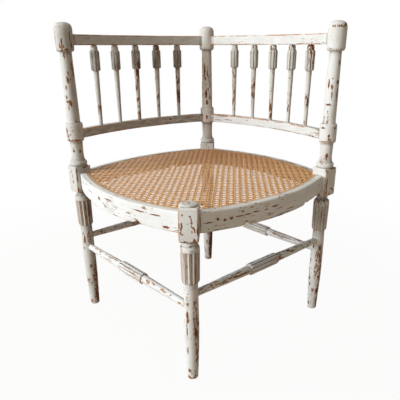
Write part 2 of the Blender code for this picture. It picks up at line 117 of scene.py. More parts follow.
def sumNode(tree, total, *terms):
    # terms are pairs of a value and its factor
    for value, factor in terms:
        total = mathNode(tree, "MULTIPLY_ADD", value, factor, total)
    return total


def mostNode(tree, first, *others):
    for other in others:
        first = mathNode(tree, "MAXIMUM", first, other)
    return first


def vectorNode(tree, operation, *terms):
    node = addNode(tree, "ShaderNodeVectorMath", dict(enumerate(terms)), operation=operation)
    return node.outputs["Value" if operation in ("LENGTH", "DOT_PRODUCT") else "Vector"]


def rangeNode(tree, value, low, high, outLow=0.0, outHigh=1.0):
    inputs = dict(enumerate((value, low, high, outLow, outHigh)))
    return addNode(tree, "ShaderNodeMapRange", inputs, interpolation_type="SMOOTHSTEP").outputs[0]


def noiseNode(tree, vector, scale, detail=3.0, rough=0.55, stretch=(1, 1, 1), shift=(0, 0, 0)):
    placed = addNode(tree, "ShaderNodeMapping", {"Vector": vector, "Scale": stretch, "Location": shift})
    inputs = {"Vector": placed.outputs[0], "Scale": scale, "Detail": detail, "Roughness": rough}
    return addNode(tree, "ShaderNodeTexNoise", inputs).outputs["Fac"]


def mixColour(tree, factor, a, b):
    return addNode(tree, "ShaderNodeMix", {0: factor, 6: a, 7: b}, data_type="RGBA").outputs[2]


def bumpNode(tree, height, strength, distance):
    inputs = {"Height": height, "Strength": strength, "Distance": distance}
    return addNode(tree, "ShaderNodeBump", inputs).outputs[0]


def newTree(name, family, takes, gives):
    # takes and gives are (label, kind) or (label, kind, value)
    tree = bpy.data.node_groups.new(name, family + "NodeTree")
    for way, sockets in (("INPUT", takes), ("OUTPUT", gives)):
        for label, kind, *value in sockets:
            socket = tree.interface.new_socket(label, in_out=way, socket_type="NodeSocket" + kind)
            if value:
                socket.default_value = value[0]
    return tree, addNode(tree, "NodeGroupInput").outputs, addNode(tree, "NodeGroupOutput").inputs


def newMaterial(name):
    mat = bpy.data.materials.new(name)
    mat.use_nodes = True
    return mat, mat.node_tree, mat.node_tree.nodes["Principled BSDF"].inputs


def makeFlakingPaint():
    # old brushed paint that flaked off along the grain and rubbed through on the edges
    amounts = ("Wear", "Dirt", "Calm", "Chip Distance", "Flakes", "Cracks", "Rub")
    takes = [("Grain", "Vector")] + [(label, "Float") for label in amounts]
    takes += [(label, "Color") for label in ("Paint", "Bare", "Timber")]
    gives = (("Color", "Color"), ("Roughness", "Float"), ("Height", "Float"))
    tree, given, out = newTree("flakingPaint", "Shader", takes, gives)
    grain = given["Grain"]

    # jagged edges: the pattern's own place is pushed about a little
    jag = addNode(tree, "ShaderNodeTexNoise", {"Vector": grain, "Scale": 380, "Detail": 2})
    bent = vectorNode(tree, "MULTIPLY_ADD", jag.outputs["Color"], (0.003, 0.003, 0.005), grain)

    # flakes: patches a few millimetres wide, longer along the grain, gathered in clusters
    patch = noiseNode(tree, bent, 230, 3.0, 0.6, (1, 1, 0.30))
    cluster = noiseNode(tree, grain, 24, 2.0, 0.5, (1, 1, 0.6), (3, 1, 7))
    score = sumNode(tree, patch, (cluster, 0.80), (given["Wear"], 0.05), (given["Flakes"], 0.30),
                    (given["Calm"], -0.14))
    flake = rangeNode(tree, score, 1.20, 1.215)
    halo = rangeNode(tree, score, 1.15, 1.20)

    # the larger chips: ragged round their places
    fine = noiseNode(tree, bent, 420, 3.0, 0.65, (1, 1, 0.45), (3, 3, 6))
    away = sumNode(tree, given["Chip Distance"], (patch, -2.4), (fine, -2.2))
    flake = mostNode(tree, flake, rangeNode(tree, away, -1.40, -1.30, 1.0, 0.0))
    halo = mostNode(tree, halo, rangeNode(tree, away, -1.30, -1.0, 0.8, 0.0))

    # cracks: thin dashes along the grain, and small dark pits
    line = noiseNode(tree, bent, 330, 2.0, 0.5, (1, 1, 0.07), (1, 4, 2))
    zone = noiseNode(tree, grain, 17, 2.0, 0.5, (1, 1, 0.5), (8, 2, 5))
    crack = rangeNode(tree, sumNode(tree, line, (zone, 0.40), (given["Cracks"], 0.25)), 1.0, 1.015)
    pit = noiseNode(tree, bent, 330, 2.0, 0.5, (1, 1, 0.6), (5, 5, 1))
    crack = mostNode(tree, crack, rangeNode(tree, pit, 0.715, 0.74))

    # bare edges: the paint rubbed through on ridges and arrises
    rubbed = noiseNode(tree, bent, 95, 4.0, 0.65, (1, 1, 0.2), (2, 9, 4))
    rubbed = sumNode(tree, rubbed, (given["Rub"], 0.5), (given["Calm"], 0.12))
    rubbed = mathNode(tree, "MULTIPLY", rubbed, given["Wear"])
    edge = rangeNode(tree, rubbed, 0.56, 0.66)
    edge = mathNode(tree, "MULTIPLY", edge, sumNode(tree, 1.0, (given["Calm"], -0.25)))
    deep = rangeNode(tree, rubbed, 0.84, 0.90)

    # paint: brush streaks, a grey bloom and darkening by the dirt amount, which is dirt in the hollows and
    # also painted shade where the pieces set it on shaded sides, creases and flutes
    streak = noiseNode(tree, grain, 520, 3.0, 0.6, (1, 1, 0.04), (4, 4, 1))
    bloom = noiseNode(tree, grain, 18, 3.0, 0.6, (1, 1, 0.8), (6, 3, 3))
    tone = rangeNode(tree, bloom, 0.35, 0.7, 0.0, 0.35)
    colour = mixColour(tree, tone, given["Paint"], (0.61, 0.60, 0.55, 1))
    tone = rangeNode(tree, streak, 0.3, 0.75, 0.0, 0.14)
    colour = mixColour(tree, tone, colour, (0.42, 0.39, 0.33, 1))
    grimeAndShade = noiseNode(tree, bent, 120, 4.0, 0.65, (1, 1, 0.3), (9, 6, 2))
    grimeAndShade = rangeNode(tree, grimeAndShade, 0.3, 0.65, 0.45, 0.95)
    grimeAndShade = mathNode(tree, "MULTIPLY", grimeAndShade, given["Dirt"], clamp=True)
    colour = mixColour(tree, grimeAndShade, colour, (0.10, 0.060, 0.034, 1))

    # timber: dark streaks along the grain, and old chips that have gone pale
    veins = noiseNode(tree, grain, 420, 4.0, 0.6, (1, 1, 0.05), (1, 7, 8))
    veins = rangeNode(tree, veins, 0.22, 0.55)
    faded = noiseNode(tree, grain, 55, 2.0, 0.5, (1, 1, 0.4), (7, 2, 9))
    faded = rangeNode(tree, faded, 0.50, 0.72, 0.0, 0.6)
    timber = mixColour(tree, faded, given["Timber"], given["Bare"])
    timber = mixColour(tree, veins, (0.075, 0.028, 0.012, 1), timber)
    bare = mixColour(tree, veins, given["Timber"], given["Bare"])
    # dirt darkens bare timber too, so the chips in painted shade come out darker
    grimeAndShadeOnTimber = mathNode(tree, "MULTIPLY", grimeAndShade, 0.8)
    timber = mixColour(tree, grimeAndShadeOnTimber, timber, (0.035, 0.014, 0.007, 1))

    # all together: a soft rim round the flakes, bare edges, lost paint, and near-black wood where no brush
    # ever came, which is also painted shade on the rails' inner faces
    colour = mixColour(tree, mathNode(tree, "MULTIPLY", halo, 0.55), colour, given["Bare"])
    colour = mixColour(tree, edge, colour, bare)
    gone = mostNode(tree, flake, crack, deep)
    colour = mixColour(tree, gone, colour, timber)
    # dirt over 1.2 gives near-black raw timber: bare wood and painted shade together
    rawShade = rangeNode(tree, given["Dirt"], 1.2, 1.9)
    plug(tree, out["Color"], mixColour(tree, rawShade, colour, (0.030, 0.012, 0.006, 1)))
    lost = mostNode(tree, gone, mathNode(tree, "MULTIPLY", edge, 0.6))
    plug(tree, out["Roughness"], sumNode(tree, 0.50, (lost, 0.22), (bloom, 0.12)))
    skin = mathNode(tree, "SUBTRACT", 1.0, lost)
    plug(tree, out["Height"], sumNode(tree, skin, (streak, 0.18)))
    return tree


def makeFinish(name, values, marks=()):
    # a wooden piece's finish: the paint group with its own amounts, and its larger chips
    mat, tree, shader = newMaterial(name)
    read = {}
    for label in ("wear", "dirt", "calm", "grain"):
        read[label] = addNode(tree, "ShaderNodeAttribute", attribute_name=label).outputs
    grain = read["grain"]["Vector"]
    nearest = 9.0
    for spot, size, least in marks:
        scale = Vector(1 / s for s in size)
        away = vectorNode(tree, "LENGTH", vectorNode(tree, "MULTIPLY_ADD", grain, scale, -scale * spot))
        nearest = mathNode(tree, "MINIMUM", mathNode(tree, "MAXIMUM", away, least), nearest)
    inputs = {**paintTones, **values, "Grain": grain, "Chip Distance": nearest}
    for label in ("Wear", "Dirt", "Calm"):
        inputs[label] = read[label.lower()]["Fac"]
    paint = addNode(tree, "ShaderNodeGroup", inputs, node_tree=flakingPaint).outputs
    plug(tree, shader["Base Color"], paint["Color"])
    plug(tree, shader["Roughness"], paint["Roughness"])
    plug(tree, shader["Normal"], bumpNode(tree, paint["Height"], 0.7, 0.0007))
    plug(tree, shader["Specular IOR Level"], 0.25)
    return mat


def chipMark(spot, wide, long, least=0.0):
    # half width and half length in millimetres; with a least distance a chip breaks up into specks
    return spot, (wide / 1000, wide / 1000, long / 1000), least


flakingPaint = makeFlakingPaint()
paintTones = {
    "Paint": (0.80, 0.815, 0.81, 1),
    "Bare": (0.52, 0.29, 0.155, 1),
    "Timber": (0.22, 0.080, 0.030, 1),
}
print("paint made")


# traces of age on the wooden pieces
trace = {
    "arris": 0.0032,  # how far wear reaches from a block's corner
    "ridge": 0.13,  # and from a ridge between flutes, as a share of the flute
    "edge": 0.0024,  # and from a rail's edge
    "dent": 0.0011,
    "fluteDent": 0.0003,
    "railDent": 0.0010,
    "railWave": 0.00022,
    "seamDirtAndShade": 0.0025,  # width of the dirt and painted shade beside a joint
}


# mesh helpers
def makePiece(name, rings, mat):
    # rings of (place, wear, dirt, calm, grain) points, skinned and capped; the last four become attributes
    n = len(rings[0])
    points = [point for ring in rings for point in ring]
    faces = [tuple(reversed(range(n))), tuple(range((len(rings) - 1) * n, len(rings) * n))]
    for k in range(len(rings) - 1):
        for i in range(n):
            j = (i + 1) % n
            faces.append((k * n + i, k * n + j, (k + 1) * n + j, (k + 1) * n + i))
    mesh = bpy.data.meshes.new(name)
    mesh.from_pydata([point[0] for point in points], [], faces)
    for col, layer in ((1, "wear"), (2, "dirt"), (3, "calm")):
        data = mesh.attributes.new(layer, "FLOAT", "POINT").data
        data.foreach_set("value", [point[col] for point in points])
    data = mesh.attributes.new("grain", "FLOAT_VECTOR", "POINT").data
    data.foreach_set("vector", [c for point in points for c in point[4]])
    bm = bmesh.new()
    bm.from_mesh(mesh)
    bmesh.ops.recalc_face_normals(bm, faces=bm.faces)
    bm.to_mesh(mesh)
    bm.free()
    mesh.shade_smooth()
    mesh.set_sharp_from_angle(angle=math.radians(50))
    mesh.materials.append(mat)
    obj = bpy.data.objects.new(name, mesh)
    scene.collection.objects.link(obj)
    return obj


def seatPiece(obj, slot, *nodes):
    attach(obj, "root")
    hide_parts(*nodes)


def row(z, r, wear=0.0, dirt=0.0, groove=0.0, half=0.0):
    # one step of a turned profile; half is set where the section is square
    calm = 1.0 if groove else 0.0
    return {"z": z, "r": r, "wear": wear, "dirt": dirt, "groove": groove, "half": half, "calm": calm}


def quarterOut(z0, r0, z1, r1, steps=6, wear=0.0, dirt=0.0, groove=0.0):
    # leaves flat, arrives upright
    rows = []
    for k in range(steps + 1):
        t = k / steps
        a = 0.5 * math.pi * t
        rows.append(row(z0 + (z1 - z0) * (1 - math.cos(a)), r0 + (r1 - r0) * math.sin(a),
                        wear * math.sin(math.pi * t) ** 0.5, dirt * (1 - t), groove * t))
    return rows


def quarterIn(z0, r0, z1, r1, steps=6, wear=0.0, dirt=0.0):
    return quarterOut(z1, r1, z0, r0, steps, wear, dirt)[::-1]


def smoothShaft(points, step=0.006):
    # rows on a smooth line through (height, radius) points
    rows = []
    last = len(points) - 1
    for k in range(last):
        p0, p1, p2, p3 = points[max(k - 1, 0)], points[k], points[k + 1], points[min(k + 2, last)]
        m1 = (p2[1] - p0[1]) / (p2[0] - p0[0])
        m2 = (p3[1] - p1[1]) / (p3[0] - p1[0])
        span = p2[0] - p1[0]
        count = max(1, round(span / step))
        for i in range(count + (k == last - 1)):
            t = i / count
            r = (2 * t ** 3 - 3 * t ** 2 + 1) * p1[1] + (t ** 3 - 2 * t ** 2 + t) * span * m1
            r += (3 * t ** 2 - 2 * t ** 3) * p2[1] + (t ** 3 - t ** 2) * span * m2
            rows.append(row(p1[0] + span * t, r))
    return rows


blockCorner = 0.0016  # how round the corners of a square block are


def squareReach(angle, half):
    # from the axis to a square with rounded corners
    c, s = abs(math.cos(angle)), abs(math.sin(angle))
    reach = half / max(c, s)
    inner = half - blockCorner
    if c * reach > inner and s * reach > inner:
        b = inner * (c + s)
        reach = b + math.sqrt(max(0.0, b * b - 2 * inner * inner + blockCorner * blockCorner))
    return reach


def latheRings(rows, s, place, shift, glazeAndShade=0.0, paintedShade=()):
    # s holds the number of sides, the flutes, the width of the ridges between them and their wear
    rings = []
    for r in rows:
        ring = []
        for k in range(s["sides"]):
            a = math.tau * k / s["sides"]
            # the glaze also darkens the whole piece: painted shade on the spindles of the shaded panel
            reach, wear, dirt = r["r"], r["wear"], max(r["dirt"], 0.5 * glazeAndShade)
            if r["half"]:
                reach = squareReach(a, r["half"])
                off = abs(math.degrees(a) % 90 - 45) / 45
                wear = max(wear, math.exp(-(off * r["half"] / trace["arris"]) ** 2))
            if r["groove"]:
                t = (a / math.tau * s["flutes"]) % 1.0
                past = max(0.0, 2 * min(t, 1 - t) - s["ridge"])
                u = past / (1 - s["ridge"])  # 0 on a ridge, 1 in the middle of a flute
                reach -= r["groove"] * math.sqrt(u * (2 - u))
                wear = max(wear, s["ridgeWear"] * math.exp(-(past / trace["ridge"]) ** 2))
                # the middle of each flute darkens: old dirt and painted shade in the hollows
                dirt = max(dirt, glazeAndShade + (1 - glazeAndShade) * u ** s["fade"])
            # patches of painted shade add to the dirt
            for angle, height, wide, tall, amount in paintedShade:
                off = (a - angle + math.pi) % math.tau - math.pi
                dirt += amount * math.exp(-(off / wide) ** 2 - ((r["z"] - height) / tall) ** 2)
            local = Vector((reach * math.cos(a), reach * math.sin(a), r["z"]))
            grain = local + shift
            bump = noise.noise(grain * 55) + 0.5 * noise.noise(grain * 160)
            deep = trace["fluteDent" if r["groove"] else "dent"]
            dent = max(0.0, noise.noise(grain * 120 + Vector((5, 1, 2))) - 0.15) * wear * deep
            size = 1 + (s["wobble"] * bump - dent) / max(reach, 0.004)
            local.x *= size
            local.y *= size
            ring.append((place @ local, wear, dirt, r["calm"], grain))
        rings.append(ring)
    return rings


def grainShift():
    return Vector((random.uniform(0, 5), random.uniform(0, 5), random.uniform(0, 5)))


# uprights: foot, swelling leg, fluted drum, block, ring, waist, collar, shaft and cap
upright = {
    "leg": [(0.004, 0.0130), (0.036, 0.0142), (0.090, 0.0162), (0.140, 0.0170), (0.200, 0.0166)],
    "drumFoot": 0.255,
    "drumRadius": 0.0210,
    "drumRise": 0.0075,
    "drumTaper": 0.0009,
    "runOut": 0.0045,  # where the flutes end
    "fluteTop": 0.330,
    "drumTop": 0.344,
    "neck": 0.0146,
    # the neck under the block is darkened: dirt and painted shade where the block shades the drum
    "neckDirtAndShade": 0.6,
    "block": 0.044,
    "blockFoot": 0.353,
    "blockTop": 0.425,
    "chamfer": 0.003,
    "button": 0.0178,
    "ring": 0.0223,
    "waist": 0.0157,
    "collar": 0.0215,
    "collarFoot": 0.0645,  # above the block
    "collarTop": 0.1125,
    "shaft": [(0.538, 0.0164), (0.600, 0.0159), (0.660, 0.0152), (0.7063, 0.0146)],
    "capFoot": 0.7065,
    "capTop": 0.773,
    "capRadius": 0.0220,
    "dome": 0.0095,
    "sides": 192,
    "wobble": 0.00015,
    "flutes": 12,
    "fluteDepth": 0.0030,
    "ridge": 0.24,  # share that stays between two flutes
    "ridgeWear": 0.95,
    "fade": 1.5,  # how fast the dirt thins out from a flute's middle; this darkening is dirt and painted shade in the flutes
    # no two of these old turnings are quite alike
    "own": {
        "left": {},
        "right": {"drumFoot": 0.2500, "fluteTop": 0.3240, "drumTop": 0.3385, "blockFoot": 0.3500},
        "back": {},
        "front": {"drumFoot": 0.2525, "fluteTop": 0.3280, "drumTop": 0.3400, "blockFoot": 0.3497,
                  "neckDirtAndShade": 0.15, "block": 0.041},
    },
    "amounts": {"Flakes": 0.36, "Cracks": 0.2},
    # each upright's paint; the left and back uprights have a darker paint, which is painted shade, as they
    # stand further in shade
    "paint": {
        "left": {"Rub": 0.32, "Paint": (0.60, 0.60, 0.57, 1)},
        "right": {"Rub": 0.22, "Paint": (0.80, 0.815, 0.80, 1)},
        "back": {"Rub": 0.30, "Paint": (0.71, 0.705, 0.67, 1)},
        "front": {"Rub": 0.29, "Paint": (0.80, 0.81, 0.79, 1)},
    },
    # patches of painted shade, put into the dirt on the shaded sides and under the blocks and rails: degrees
    # as below, height, half angle in degrees, half length, amount
    "paintedShade": {
        "left": [
            (45, 0.390, 40, 0.040, 0.50), (72, 0.300, 42, 0.050, 0.65), (38, 0.610, 36, 0.110, 0.42),
            (10, 0.735, 60, 0.030, 0.38), (85, 0.110, 42, 0.110, 0.50),
        ],
        "right": [
            (0, 0.290, 90, 0.045, 0.22), (-45, 0.362, 40, 0.018, 0.40), (-10, 0.337, 80, 0.010, 0.25),
            (78, 0.080, 34, 0.110, 0.40),
        ],
        "back": [
            (0, 0.745, 90, 0.030, 0.14), (60, 0.060, 36, 0.090, 0.50),
        ],
        "front": [
            (70, 0.300, 36, 0.055, 0.45), (66, 0.110, 36, 0.130, 0.38),
        ],
    },
    # larger chips: degrees from the front towards the right, then height, half width and half length
    # in millimetres, and a least distance
    "chips": {
        "left": [
            (-54, 410, 2, 3, 0.3), (-42, 397, 2.4, 5, 0.5), (-43, 382, 2.4, 5), (4, 418, 1.8, 6),
            (4, 398, 1.6, 16, 0.5), (2, 364, 2.2, 9), (56, 421.5, 6, 1.8, 0.3), (74, 423.5, 3, 2),
            (-5, 709.5, 4, 2), (26, 712, 5, 2.4), (-30, 494.5, 9, 1.8, 0.6), (20, 494.5, 9, 1.8, 0.7),
            (-62, 512, 3, 14, 0.8), (2, 726.5, 2.2, 9), (-12, 719.5, 1.8, 4.5), (12, 718.5, 1.8, 4),
            (-4, 716.5, 3, 3), (-50, 735, 1.2, 11, 0.5), (58, 738, 1.4, 14, 0.5), (66, 720, 2, 8, 0.6),
            (62, 676, 2.4, 10, 0.5), (75, 660, 3, 12, 0.4), (2, 699, 2.4, 7), (19, 657, 1.8, 4),
            (16, 642, 4.6, 8), (-14, 625, 2.2, 5), (-20, 601, 2, 4), (-4, 590, 7, 4), (10, 584, 4.5, 5),
            (-10, 574, 2, 6), (-45, 519, 3.8, 7), (-38, 505, 3, 7), (-13, 465, 2.5, 4), (47, 464, 3, 4.5),
            (-25, 231, 2.5, 4), (-13, 213, 3, 11), (-26, 186, 2.5, 3.5), (34, 219, 4, 15, 0.9),
            (22, 129, 3, 6, 0.8), (68, 112, 7, 26, 0.85), (52, 81, 6, 22, 0.9), (43, 50, 2.6, 6),
            (66, 35, 8, 30, 0.75), (-24, 62, 2, 4, 0.7), (-21, 10, 4, 6, 0.6),
        ],
        "right": [
            (60, 369.7, 4, 2.4), (86, 359.5, 2.4, 4), (42, 356.5, 2, 6), (76, 366, 2.4, 2.4),
            (9, 383, 2, 16, 0.4), (9, 418, 1.8, 4), (11, 361, 2.2, 7), (-39, 353.5, 5, 2.6),
            (58, 423.5, 12, 1.3, 0.8), (11, 335.5, 2, 2.2), (17, 328.5, 3, 1.2), (-62, 330, 2.4, 2.2),
            (-29, 336, 2, 1.6, 0.6), (-2, 448, 2, 3), (-30, 447, 8, 9, 1.22), (-20, 760.5, 9, 2.4, 0.95),
            (16, 760.5, 9, 2.6, 0.9), (50, 764, 6, 3.5, 0.8), (-32, 494.5, 9, 1.8, 0.75),
            (6, 494.5, 8, 1.6, 0.85), (-45, 712.5, 4, 1.2), (35, 682, 2, 6), (-12, 645, 1.8, 2.2),
            (-47, 634, 2.6, 8), (-14, 628, 2.4, 7), (41, 636, 3.4, 5), (-8, 607, 1.5, 8),
            (-34, 584, 6.5, 2.6), (42, 607, 1.9, 15), (-48, 528, 5, 2.2), (36, 528, 2.8, 2.5),
            (-5, 509, 3, 4.5), (2, 500, 4, 3), (0, 457, 4.2, 6), (-46, 201, 3, 6), (20, 199, 4, 9),
            (-4, 174, 4.5, 17, 0.85), (-7, 130, 4, 24, 0.9), (-66, 156, 2, 9, 0.7),
            (-57, 83, 2.5, 6, 0.7), (-17, 64, 3.5, 8, 0.5), (32, 61, 5.5, 11), (30, 150, 5, 40, 0.98),
            (60, 100, 8, 45, 0.9), (57, 23, 7, 20, 0.5), (-62, 18, 3, 6),
        ],
        "back": [
            (-21, 656, 2.2, 12), (9, 639, 2, 8), (-8, 579, 4, 13), (3, 555, 3.2, 8), (2, 509, 3, 6),
            (38, 130, 4, 24), (-10, 70, 2.6, 9), (46, 60, 4.5, 22), (48, 75, 8, 70, 0.1),
            (25, 50, 3, 40, 0.6), (40, 20, 4, 9), (5, 105, 1.8, 8), (-32, 120, 1.8, 9),
        ],
        "front": [
            (44, 376, 2.4, 24, 0.8), (45, 404, 2, 14, 0.95), (2, 351.2, 12, 1.4, 0.9), (-42, 388, 1.4, 6),
            (-29, 411, 1.9, 2), (-4, 392.5, 1.3, 1.3), (12, 408, 1.7, 2.6), (16, 402, 1.4, 3),
            (18, 394.5, 2.1, 4), (17, 387, 1.5, 3.4), (24, 384, 2.2, 2.4), (20, 376, 1.5, 4),
            (31, 380, 1.7, 3.4), (33, 375.5, 1.7, 2.4), (-33, 391.5, 1.5, 2.6), (-32, 386, 2, 4),
            (-36, 380, 1.9, 4), (-37, 373.5, 1.9, 4), (-32, 369.5, 2, 1.6), (-22, 352.5, 3.4, 2.8),
            (30, 355.5, 2.4, 4.6), (24, 352, 4, 2.4), (37, 352, 3.6, 2.6), (14, 340.5, 3.2, 1),
            (17, 332.5, 3, 1), (-27, 213, 3, 12, 0.8), (-25, 170, 2.8, 16, 0.3), (-33, 137, 1.6, 20, 0.5),
            (36, 162, 4.5, 46, 1.02), (39, 127, 3.6, 14, 0.5), (-34, 81, 2, 8, 0.6), (49, 77, 3, 12, 0.7),
            (47, 54, 2.6, 8, 0.6), (62, 100, 6, 60, 1.05), (-25, 24, 3, 6), (-19, 4, 5, 6),
        ],
    },
}


def rowsFrom(base, *steps):
    # steps are a height above the base and then what a row takes
    return [row(base + lift, *rest) for lift, *rest in steps]


def legRows(u):
    rows = [row(0.0, 0.0115, 0.4), row(0.0008, 0.0123, 0.9), row(0.002, 0.0127, 0.7)]
    rows += smoothShaft(u["leg"] + [(u["drumFoot"] - 0.0005, 0.0156)])
    rows[3]["wear"], rows[4]["wear"] = 0.8, 0.55
    for r in rows[-3:]:
        r["dirt"] = 0.12
    foot, radius, depth = u["drumFoot"], u["drumRadius"], u["fluteDepth"]
    rise, taper, runOut = u["drumRise"], u["drumTaper"], u["runOut"]
    rows += quarterOut(foot, 0.0170, foot + rise, radius - taper, 7, 0.5, 0.5, depth)
    for t in (k / 12 for k in range(1, 12)):
        z = foot + rise + t * (u["fluteTop"] - runOut - foot - rise)
        rows.append(row(z, radius - taper * (1 - t), 0, 0, depth))
    for t in (k / 6 for k in range(7)):
        groove = depth * math.sqrt(max(0.0, 1 - t * t))
        rows.append(row(u["fluteTop"] - runOut * (1 - t), radius, 0.25 * t, 0, groove))
    # dirt and painted shade on the neck under the block
    neck, dirt = u["neck"], u["neckDirtAndShade"]
    rows += quarterIn(u["fluteTop"] + 0.004, radius, u["drumTop"], neck + 0.0004, 8, 0.6, dirt)
    rows.append(row(u["drumTop"] + 0.002, neck, 0, dirt))
    rows += rowsFrom(u["blockFoot"], (-0.003, neck + 0.0001, 0, 0.7 * dirt), (-0.0008, neck + 0.0005, 0, 0.7),
                     (0, neck + 0.0012, 0, 0.7))
    return rows


def blockRows(u):
    half, cut = u["block"] / 2, u["chamfer"]
    low, high = u["blockFoot"], u["blockTop"]
    rows = rowsFrom(low, (0, 0, 0.2, 0.4, 0, half - cut - 0.002), (0, 0, 0.7, 0.1, 0, half - cut),
                    (cut * 0.5, 0, 1, 0, 0, half - cut * 0.42), (cut, 0, 0.9, 0, 0, half - 0.0002))
    start = low + cut + 0.002
    rows.append(row(start, 0, 0.35, 0, 0, half))
    rows += [row(start + (high - low - cut - 0.0055) * k / 12, 0, 0, 0, 0, half) for k in range(1, 12)]
    rows += rowsFrom(high, (-0.0035, 0, 0.2, 0, 0, half), (-0.0016, 0, 0.6, 0, 0, half - 0.0002),
                     (-0.0006, 0, 0.65, 0, 0, half - 0.0008), (0, 0, 0.4, 0, 0, half - 0.0018))
    return rows


def postTopRows():
    u = upright
    top, ring, collar = u["blockTop"], u["ring"], u["collar"]
    rows = rowsFrom(top, (0, 0.0200, 0, 0.7), (0.0006, 0.0196, 0, 0.7))
    rows += quarterOut(top + 0.001, 0.0196, top + 0.0065, ring, 5, 0.3, 0.5)
    rows += quarterIn(top + 0.0080, ring, top + 0.0132, 0.0186, 6, 0.7, 0.2)
    # waist: a hollow that rises from the ring to the collar
    for t in (k / 8 for k in range(1, 9)):
        rows.append(row(top + 0.0132 + 0.016 * t, u["waist"] + 0.0029 * (1 - t) ** 2.2, 0, 0.45 * (1 - t)))
    rows += smoothShaft([(top + 0.0330, 0.0156), (top + 0.050, 0.0160), (top + 0.0643, 0.0165)])
    rows[-1]["dirt"] = 0.6
    low, high = top + u["collarFoot"], top + u["collarTop"]
    rows += quarterOut(low, 0.0174, low + 0.006, collar, 6, 0.9, 0.4)
    rows += [row(low + 0.010 + 0.030 * k / 4, collar) for k in range(5)]
    rows += quarterIn(high - 0.006, collar, high - 0.0002, 0.0174, 6, 0.35, 0.3)
    rows.append(row(high, 0.0166, 0, 0.7))
    for r in rows:
        r["calm"] = 0.35
    rows += smoothShaft(u["shaft"])
    rows[-1]["dirt"] = 0.6
    low, high, radius, dome = u["capFoot"], u["capTop"], u["capRadius"], u["dome"]
    cap = quarterOut(low, 0.0158, low + 0.007, radius - 0.0002, 7, 0.65, 0.7)
    cap += [row(low + 0.010 + (high - low - 0.029) * k / 6, radius) for k in range(7)]
    # dome, with a soft arris where it starts
    cap += rowsFrom(high, (-0.0160, radius, 0.35), (-0.0140, radius - 0.0001, 0.6),
                    (-0.0115, radius - 0.0006, 0.8), (-dome, radius - 0.0016, 0.6))
    for a in (0.5 * math.pi * k / 9 for k in range(1, 10)):
        wide = 0.0022 + (radius - 0.0016 - 0.0022) * math.cos(a)
        cap.append(row(high - dome + dome * math.sin(a), wide, 0.15))
    for r in cap:
        r["calm"] = 0.8
    return rows + cap


def buttonRows():
    top, radius = upright["blockTop"], upright["button"]
    rows = rowsFrom(top, (0, 0.0170, 0, 0.7), (0.0006, 0.0168, 0, 0.6))
    rows += quarterOut(top + 0.0008, 0.0168, top + 0.0026, radius, 4, 0.4, 0.3)
    rows += quarterIn(top + 0.0030, radius, top + 0.0046, 0.0158, 5, 0.8)
    rows += rowsFrom(top, (0.0049, 0.0146, 0.3), (0.0050, 0.0128), (0.0049, 0.0120, 0, 0.5),
                     (0.0043, 0.0114, 0, 0.9), (0.0049, 0.0108, 0, 0.5), (0.0050, 0.0100),
                     (0.0050, 0.0085, 0.3), (0.0050, 0.0062, 0.85), (0.0050, 0.0030, 1.0))
    for r in rows:
        r["dirt"] = max(r["dirt"], 0.22)
    return rows


def makeUpright(corner):
    u = {**upright, **upright["own"][corner]}
    turn = math.pi / 4 if corner in ("left", "right") else 0.0
    place = Matrix.Translation(corners[corner]) @ Matrix.Rotation(turn, 4, "Z")
    rows = legRows(u) + blockRows(u) + (buttonRows() if corner == "front" else postTopRows())
    shift = grainShift()
    marks = []
    for degrees, height, wide, tall, *least in u["chips"][corner]:
        height /= 1000
        angle = math.radians(degrees - 90) - turn
        near = min(rows, key=lambda r: abs(r["z"] - height))
        reach = squareReach(angle, near["half"]) if near["half"] else near["r"]
        spot = Vector((reach * math.cos(angle), reach * math.sin(angle), height))
        marks.append(chipMark(spot + shift, wide, tall, *least))
    finish = makeFinish(corner + "UprightPaint", {**u["amounts"], **u["paint"][corner]}, marks)
    paintedShade = [(math.radians(degrees - 90) - turn, height, math.radians(wide), tall, amount)
            for degrees, height, wide, tall, amount in u["paintedShade"][corner]]
    obj = makePiece(corner + "Upright", latheRings(rows, u, place, shift, paintedShade=paintedShade), finish)
    seatPiece(obj, "painted_wood", "front_leg" if corner == "front" else corner + "_post")


for corner in corners:
    makeUpright(corner)
print("uprights made")


# bowed rails
def roundSection(points, radius, flat):
    # points are (across, height, wear) corners in order; each is rounded, and the flats get extra rows
    section = []
    n = len(points)
    for k in range(n):
        a, b, c = (Vector(points[(k + d) % n][:2]) for d in (-1, 0, 1))
        worn = points[k][2]
        into, away = (a - b), (c - b)
        r = min(radius[k], into.length * 0.45, away.length * 0.45)
        p, q = b + into.normalized() * r, b + away.normalized() * r
        for t in (0, 0.25, 0.5, 0.75, 1):
            spot = p.lerp(b, t).lerp(b.lerp(q, t), t)
            section.append((spot.x, spot.y, worn))
        follow = (k + 1) % n
        end = c + (b - c).normalized() * min(radius[follow], away.length * 0.45)
        span = (end - q).length
        short = [d for d in flat if d < span / 2]
        for start, other, amount, order in ((q, end, worn, short), (end, q, points[follow][2], short[::-1])):
            for d in order:
                spot = start.lerp(other, d / span)
                section.append((spot.x, spot.y, amount * math.exp(-(d / trace["edge"]) ** 2)))
    return section


